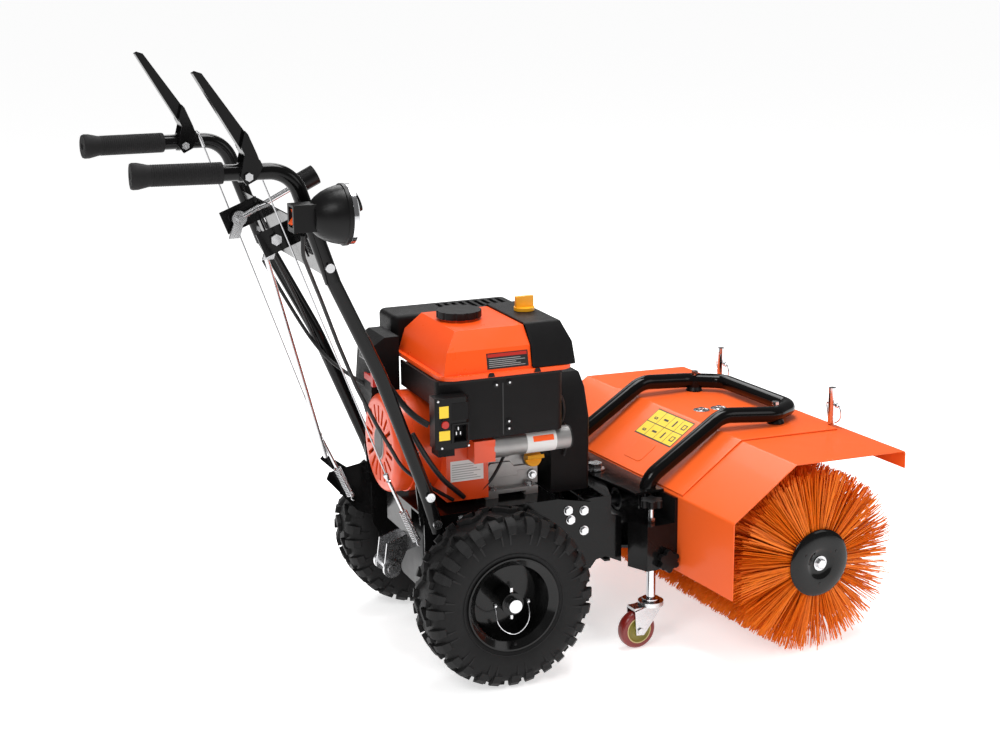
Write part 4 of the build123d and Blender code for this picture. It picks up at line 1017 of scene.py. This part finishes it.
def engine_cables():
    """Loose cables and hoses: radius and control points of each."""
    build = Builder()
    routes = [
        (3.5, (-170, -138, 430), (-158, -136, 404), (-120, -132, 372), (-84, -126, 345),
         (-50, -122, 322)),
        (6.0, (-190, -172, 572), (-150, -128, 520), (-122, -140, 490), (-106, -150, 481)),
        (5.0, (-140, -155, 470), (-120, -158, 430), (-80, -148, 372), (-45, -132, 341), (-30, -124, 326)),
        (3.0, (60, -112, 398), (44, -116, 370), (20, -118, 340), (-10, -116, 318)),
        (3.2, (150, -120, 520), (176, -112, 500), (186, -104, 470), (178, -112, 446), (168, -118, 440)),
        (2.4, (178, -118, 444), (192, -106, 430), (196, -100, 402), (188, -96, 372)),
        (3.6, (-306, 214, 742), (-262, 196, 650), (-214, 160, 560), (-170, 120, 520), (-140, 96, 500)),
        (3.2, (-312, 120, 770), (-268, 140, 690), (-210, 176, 560), (-160, 184, 470), (-122, 150, 380)),
    ]
    for radius, *points in routes:
        build.add(*swept(nurbs([at(*p) for p in points]), radius, 12), CABLE)
    build.piece("engine_cables", "root", angle=60)


def far_side():
    """Muffler's drum, pull grip, choke with key and the heater box's blank tag."""
    build = Builder()
    drum = [(0, -70), (30, -70), (38, -62), (38, 62), (30, 70), (0, 70)]
    build.add(*lathe(drum, at(60, 150, 520), (1, 0, 0), 48), DARKCAST)
    build.piece("muffler_drum", "root", angle=30)
    build = Builder()
    grip = [(0, 0), (9, 0), (10, 6), (8, 20), (10, 34), (9, 40), (0, 40)]
    build.add(*lathe(grip, at(-128, 20, 518), (-0.35, 0, 1), 24), SATIN)
    build.piece("recoil_pull_grip", "root", angle=40)
    build = Builder()
    build.add(*lathe(corners_of((0, 7), (0, 5)), at(-145, 58, 580), (-1, 0, 0.2), 24), SATIN)
    block(build, [(-150, 572), (-150, 588), (-162, 588), (-162, 572)], 50, -3, RED)
    build.piece("choke_and_key", "root", bevel=0.6)
    build = Builder()
    low, high = Vector((-146.9, 0, 545)), Vector((-140.8, 0, 584))
    up, middle = (high - low).normalized(), (low + high) / 2
    for width, tall, lift, material in ((56, 22, 0.2, GREY), (52, 18, 0.5, INK)):
        corners = [at(*(middle + up * tall / 2 * s + Vector((-lift, 100 + width / 2 * t, 0))))
                   for s, t in ((-1, -1), (-1, 1), (1, 1), (1, -1))]
        build.add(*extruded(corners, Vector((-0.0003, 0, 0.00005))), material)
    build.piece("heater_tag", "root", angle=20)


# ---- lamp
def lamp_ribs():
    """Ribs on the lamp's shell and the ring behind its rim."""
    build = Builder()
    middle = at(0, LAMP_Y, LAMP_Z)
    for a in full_turn(16):
        spoke = Vector((0, math.cos(a), math.sin(a)))
        run = [middle + Vector((x / 1000, 0, 0)) + spoke * r / 1000
               for x, r in ((-344, 31), (-330, 38.0), (-318, 43.6))]
        build.add(*swept(run, 0.9, 6), SATIN)
    rim = [(50, 0), (52.4, 1), (52.4, 7), (50, 8)]
    build.add(*lathe(rim, at(-306, LAMP_Y, LAMP_Z), (1, 0, 0), 72), SATIN)
    build.piece("lamp_ribs", "lamp", angle=50)


paint_frame()
for name, sign in SIDES.items():
    tyre(name, sign)
    castor_wheel(name, sign)
    clutch_wire(name, sign)
for make in (brush_core, bristles, hood, pin_clips, grips, lever_gussets, side_cover_trim,
             tank_details, switch_box_details, recoil_badge, engine_bolts, engine_plates, crankcase_ribs,
             starter_sleeve, engine_cables, far_side, lamp_ribs):
    make()
